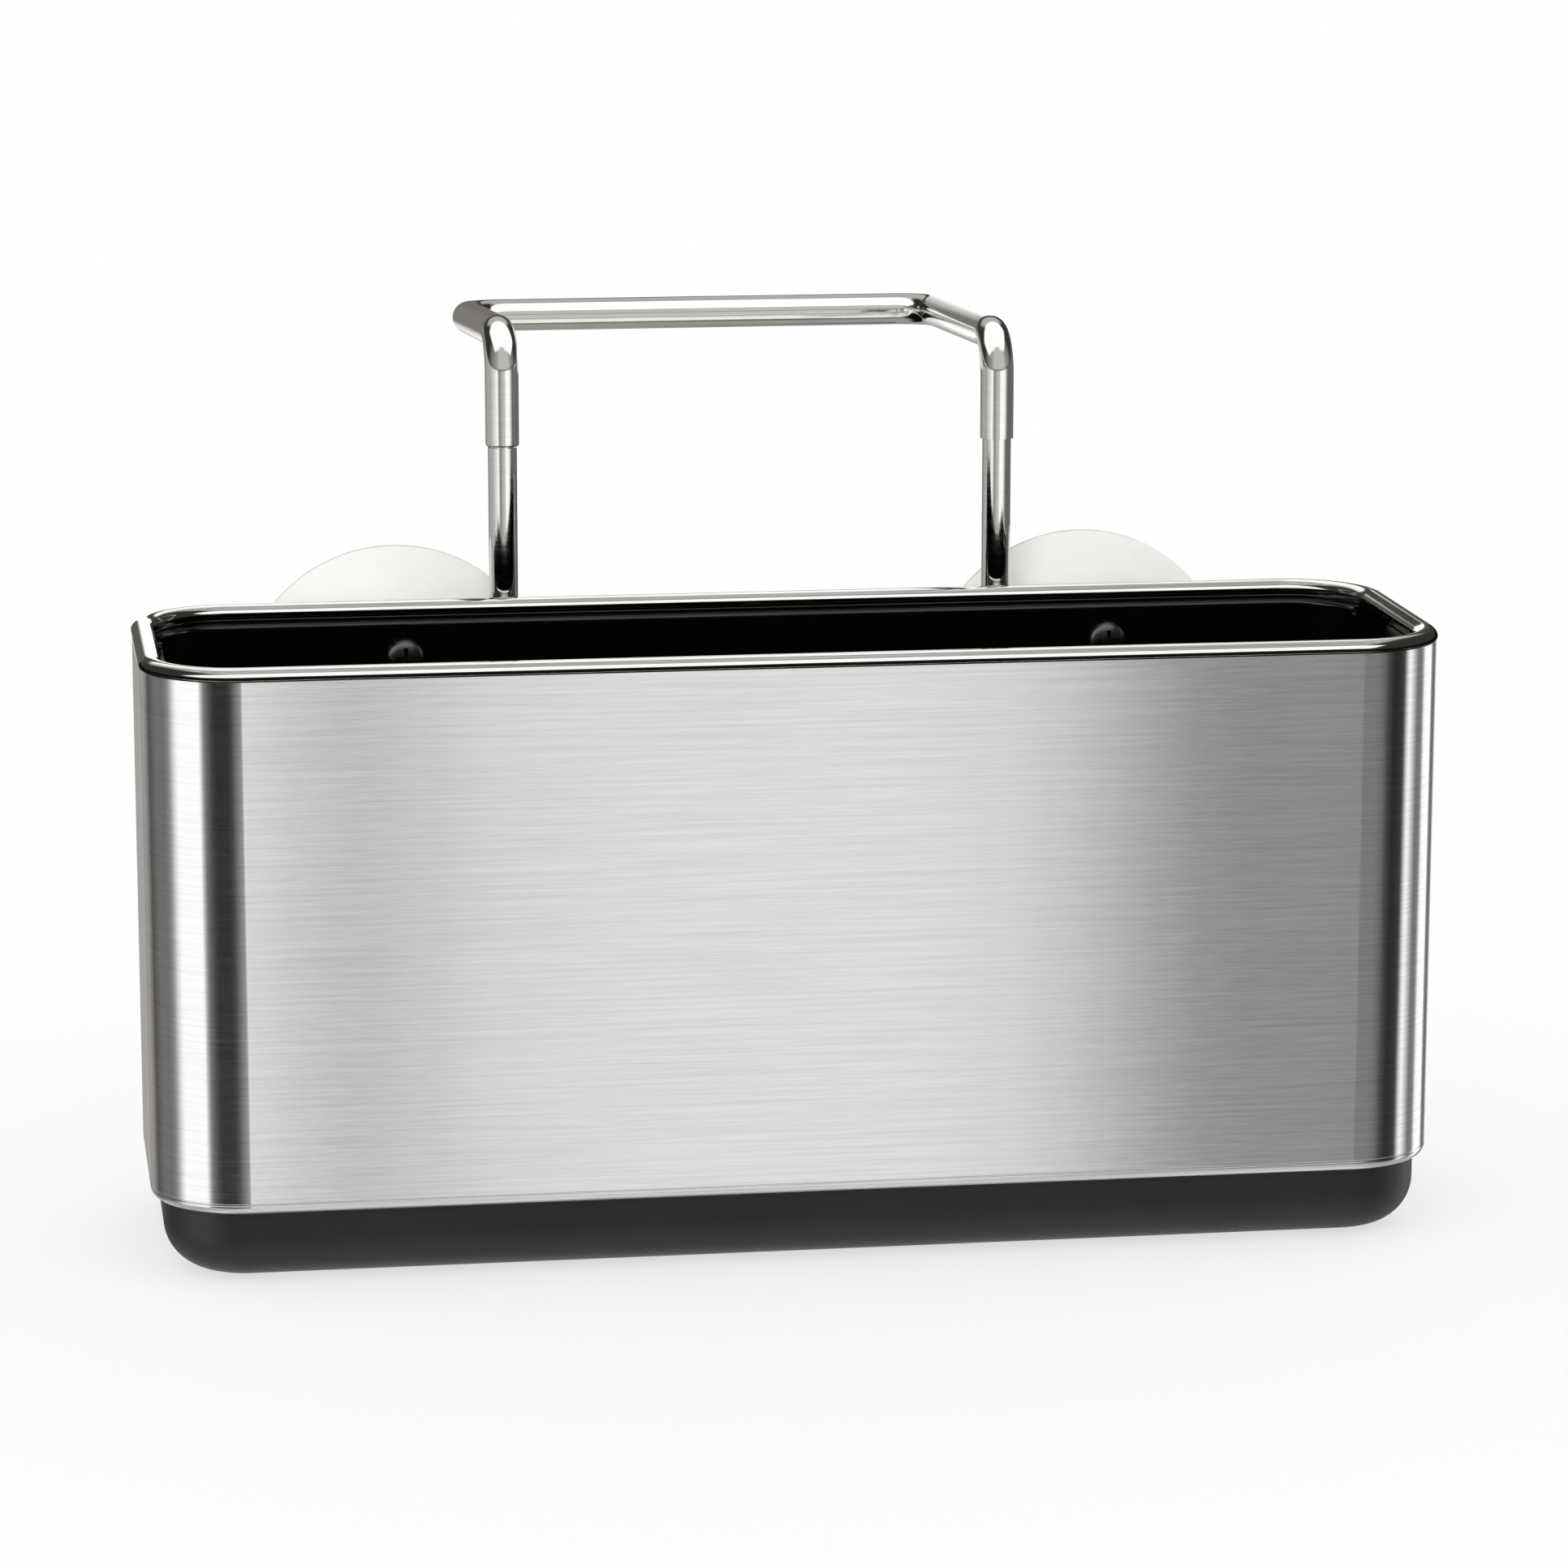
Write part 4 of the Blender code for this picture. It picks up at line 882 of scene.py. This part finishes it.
def make_studio():
    """A dome of boxes and flags that only reflections see; everything else gets even white light."""
    world = bpy.data.worlds.new("studio")
    bpy.context.scene.world = world
    world.use_nodes = True
    world.cycles.sampling_method = "NONE"
    tree = world.node_tree
    tree.nodes.clear()
    direction = add(tree, "ShaderNodeTexCoord").outputs["Generated"]
    parts = add(tree, "ShaderNodeSeparateXYZ", {"Vector": direction}).outputs
    forward = add(tree, "ShaderNodeMath", {0: parts["Y"], 1: -1.0}, operation="MULTIPLY").outputs[0]
    angle = slope(tree, parts["X"], forward)
    turned_away = add(tree, "ShaderNodeMath", {0: angle}, operation="ABSOLUTE").outputs[0]
    aside = add(tree, "ShaderNodeMath", {0: parts["X"]}, operation="ABSOLUTE").outputs[0]
    lift = add(tree, "ShaderNodeMath", {0: parts["Z"]}, operation="ARCSINE").outputs[0]
    lift = add(tree, "ShaderNodeMath", {0: lift}, operation="DEGREES").outputs[0]
    front = ramp(tree, lift, FRONT_LIFT, 0, 90)
    back = ramp(tree, lift, BACK_LIFT, 0, 90)
    above = fade(tree, forward, OVER_THE_TOP, back, front)
    above = fade(tree, aside, TO_THE_SIDES, above, grey(SIDE_TONE))
    around = fade(tree, turned_away, TO_THE_REAR, grey(AROUND_TONE), grey(BEHIND_TONE))
    sky = fade(tree, lift, TO_THE_SKY, around, above)
    behind = fade(tree, turned_away, TO_THE_REAR, sky, grey(LOW_BEHIND_TONE))
    low = window(tree, lift, *LOW_BAND)
    sky = add(tree, "ShaderNodeMix", {"Factor": low, 6: sky, 7: behind}, data_type="RGBA").outputs[2]
    whole = fade(tree, lift, TO_THE_FLOOR, sky, grey(FLOOR_TONE))
    warm = fade(tree, whole, WARM_TO_WHITE, colour(WARM_GREY), grey(1))
    layers = {"Factor": 1.0, 6: whole, 7: warm}
    toned = add(tree, "ShaderNodeMix", layers, data_type="RGBA", blend_type="MULTIPLY").outputs[2]
    paths = add(tree, "ShaderNodeLightPath").outputs
    plain = add(tree, "ShaderNodeBackground", {"Color": grey(1), "Strength": 1.0}).outputs[0]
    seen = add(tree, "ShaderNodeBackground", {"Color": toned, "Strength": 1 / STEEL_GIVES_BACK}).outputs[0]
    both = add(tree, "ShaderNodeMixShader", {0: paths["Is Glossy Ray"], 1: plain, 2: seen}).outputs[0]
    add(tree, "ShaderNodeOutputWorld", {"Surface": both})


def make_card(name, seen_by, middle, radius, lifts, tones, soft):
    """A curved card between two heights, with a tone for each compass angle. Only some pieces see it."""
    low, high = (middle[2] + radius * math.tan(math.radians(angle)) for angle in lifts)
    start, end = tones[0][0], tones[-1][0]
    shape = bmesh.new()
    first = line(shape, [(middle[0], middle[1] - radius, height) for height in (low, high)])
    turn = Matrix.Rotation(math.radians(start), 3, "Z")
    bmesh.ops.rotate(shape, cent=middle, verts=shape.verts[:], matrix=turn)
    carry(shape, first, about=middle, turn=end - start, steps=40)
    bmesh.ops.scale(shape, vec=(MM, MM, MM), verts=shape.verts[:])
    material, tree, parts = light_material(name)
    pairs = ((parts["X"], middle[0] * MM), (middle[1] * MM, parts["Y"]), (parts["Z"], middle[2] * MM))
    x, forward, rise = (
        add(tree, "ShaderNodeMath", {0: more, 1: less}, operation="SUBTRACT").outputs[0]
        for more, less in pairs
    )
    half_way = (start + end) / 2
    turns = {0: slope(tree, x, forward), 1: half_way + 180, 2: half_way - 180}
    angle = add(tree, "ShaderNodeMath", turns, operation="WRAP").outputs[0]
    lift = slope(tree, rise, radius * MM)
    share = window(tree, lift, lifts[0] + soft, lifts[1] - soft, soft)
    hang_card(name, seen_by, shape, material, ramp(tree, angle, tones, start, end), share)


def make_overhead(name, seen_by, height, across, along, soft):
    """A level soft box above the caddy. Only some pieces see it."""
    shape = bmesh.new()
    place = Matrix.Translation((0, 0, height))
    bmesh.ops.create_grid(shape, x_segments=1, y_segments=1, size=OVERHEAD_HALF, matrix=place)
    material, tree, parts = light_material(name)
    inside = {0: window(tree, parts["X"], *across, soft), 1: window(tree, parts["Y"], *along, soft)}
    share = add(tree, "ShaderNodeMath", inside, operation="MULTIPLY").outputs[0]
    hang_card(name, seen_by, shape, material, grey(OVERHEAD_TONE), share)


def light_material(name):
    """An empty material with the place on the card as X, Y and Z."""
    material, tree, shader = new_material(name + "_light")
    tree.nodes.remove(shader)
    place = add(tree, "ShaderNodeTexCoord").outputs["Object"]
    return material, tree, add(tree, "ShaderNodeSeparateXYZ", {"Vector": place}).outputs


def hang_card(name, seen_by, shape, material, tone, share):
    """Gives a card its light, lets every other ray through and says which pieces see it."""
    tree = material.node_tree
    factors = {0: share, 1: 1 / STEEL_GIVES_BACK}
    strength = add(tree, "ShaderNodeMath", factors, operation="MULTIPLY").outputs[0]
    light = add(tree, "ShaderNodeEmission", {"Color": tone, "Strength": strength}).outputs[0]
    clear = add(tree, "ShaderNodeBsdfTransparent").outputs[0]
    both = add(tree, "ShaderNodeAddShader", {0: clear, 1: light}).outputs[0]
    tree.links.new(both, tree.nodes["Material Output"].inputs["Surface"])
    material.cycles.emission_sampling = "NONE"
    card = stage_piece(name, shape, material)
    for ray in ("camera", "diffuse", "transmission", "volume_scatter", "shadow"):
        setattr(card, "visible_" + ray, False)
    card.light_linking.receiver_collection = seen_by


def stage_piece(name, shape, material):
    """A card or the floor, which are drawn in metres."""
    mesh = bpy.data.meshes.new(name)
    shape.to_mesh(mesh)
    shape.free()
    mesh.materials.append(material)
    piece = bpy.data.objects.new(name, mesh)
    bpy.context.scene.collection.objects.link(piece)
    return piece


def group(name, *starts):
    """The pieces whose names have one of these starts."""
    made = bpy.data.collections.new(name)
    for piece in PIECES:
        if piece.name.startswith(starts):
            made.objects.link(piece)
    return made


def make_cards():
    """Lights the body, the rim and the hook apart, so that each shows its own bands."""
    rest = {piece.name for piece in PIECES if not piece.name.startswith(("hook", "rim_"))}
    groups = {
        "hook": group("lit_hook", "hook"),
        "rim": group("lit_rim", "rim_bead"),
        "body": group("lit_body", *rest),
        "rim_and_body": group("lit_low", "rim_bead", *rest),
    }
    for name, (seen_by, *settings) in CARDS.items():
        make_card(name, groups[seen_by], *settings)
    for name, (seen_by, *settings) in OVERHEADS.items():
        make_overhead(name, groups[seen_by], *settings)


def make_cup_lamp():
    """A soft box high in front that reaches only the cups, so that their milk glows as in daylight."""
    data = bpy.data.lights.new("cup_lamp", "AREA")
    data.shape = "SQUARE"
    data.size = CUP_LAMP_SIZE
    data.energy = CUP_LAMP_WATTS
    lamp = bpy.data.objects.new("cup_lamp", data)
    aside = Matrix.Rotation(CUP_LAMP_ASIDE, 4, "Z")
    down = Matrix.Rotation(CUP_LAMP_DOWN, 4, "X")
    lamp.matrix_world = Matrix.Translation(CUP_LAMP_PLACE) @ aside @ down
    bpy.context.scene.collection.objects.link(lamp)
    lamp.visible_glossy = False
    lamp.light_linking.receiver_collection = group("lit_cups", "cup_")


def make_floor():
    """A plain white sweep that keeps a soft contact shadow."""
    material, tree, shader = new_material("white_sweep")
    tree.nodes.remove(shader)
    matt = add(tree, "ShaderNodeBsdfDiffuse", {"Color": grey(FLOOR_GREY)}).outputs[0]
    white = add(tree, "ShaderNodeEmission", {"Color": grey(1), "Strength": FLOOR_GLOW}).outputs[0]
    eye = add(tree, "ShaderNodeLightPath").outputs["Is Camera Ray"]
    share = add(tree, "ShaderNodeMath", {0: eye, 1: FLOOR_GLOW_SHARE}, operation="MULTIPLY").outputs[0]
    mixed = add(tree, "ShaderNodeMixShader", {0: share, 1: matt, 2: white}).outputs[0]
    tree.links.new(mixed, tree.nodes["Material Output"].inputs["Surface"])
    shape = bmesh.new()
    bmesh.ops.create_grid(shape, x_segments=1, y_segments=1, size=FLOOR_HALF)
    floor = stage_piece("floor", shape, material)
    floor.location.z = -FLOOR_DROP
    floor.visible_glossy = False


def make_camera():
    """The photograph's own view: a long lens from the front left, a little above."""
    side, lift, roll = (math.radians(angle) for angle in (VIEW_SIDE, VIEW_LIFT, VIEW_ROLL))
    back = Vector((math.sin(side) * math.cos(lift), -math.cos(side) * math.cos(lift), math.sin(lift)))
    right = Vector((math.cos(side), math.sin(side), 0))
    up = back.cross(right)
    x_axis = right * math.cos(roll) + up * math.sin(roll)
    y_axis = up * math.cos(roll) - right * math.sin(roll)
    turn = Matrix((x_axis, y_axis, back)).transposed().to_4x4()
    data = bpy.data.cameras.new("camera")
    data.lens = VIEW_LENS
    data.sensor_width = 36.0
    data.clip_start = 0.05
    camera = bpy.data.objects.new("camera", data)
    camera.matrix_world = Matrix.Translation(Vector(VIEW_PLACE) * MM) @ turn
    bpy.context.scene.collection.objects.link(camera)
    bpy.context.scene.camera = camera


make_studio()
make_cards()
make_cup_lamp()
make_floor()
make_camera()
bpy.context.scene.view_settings.view_transform = "Standard"
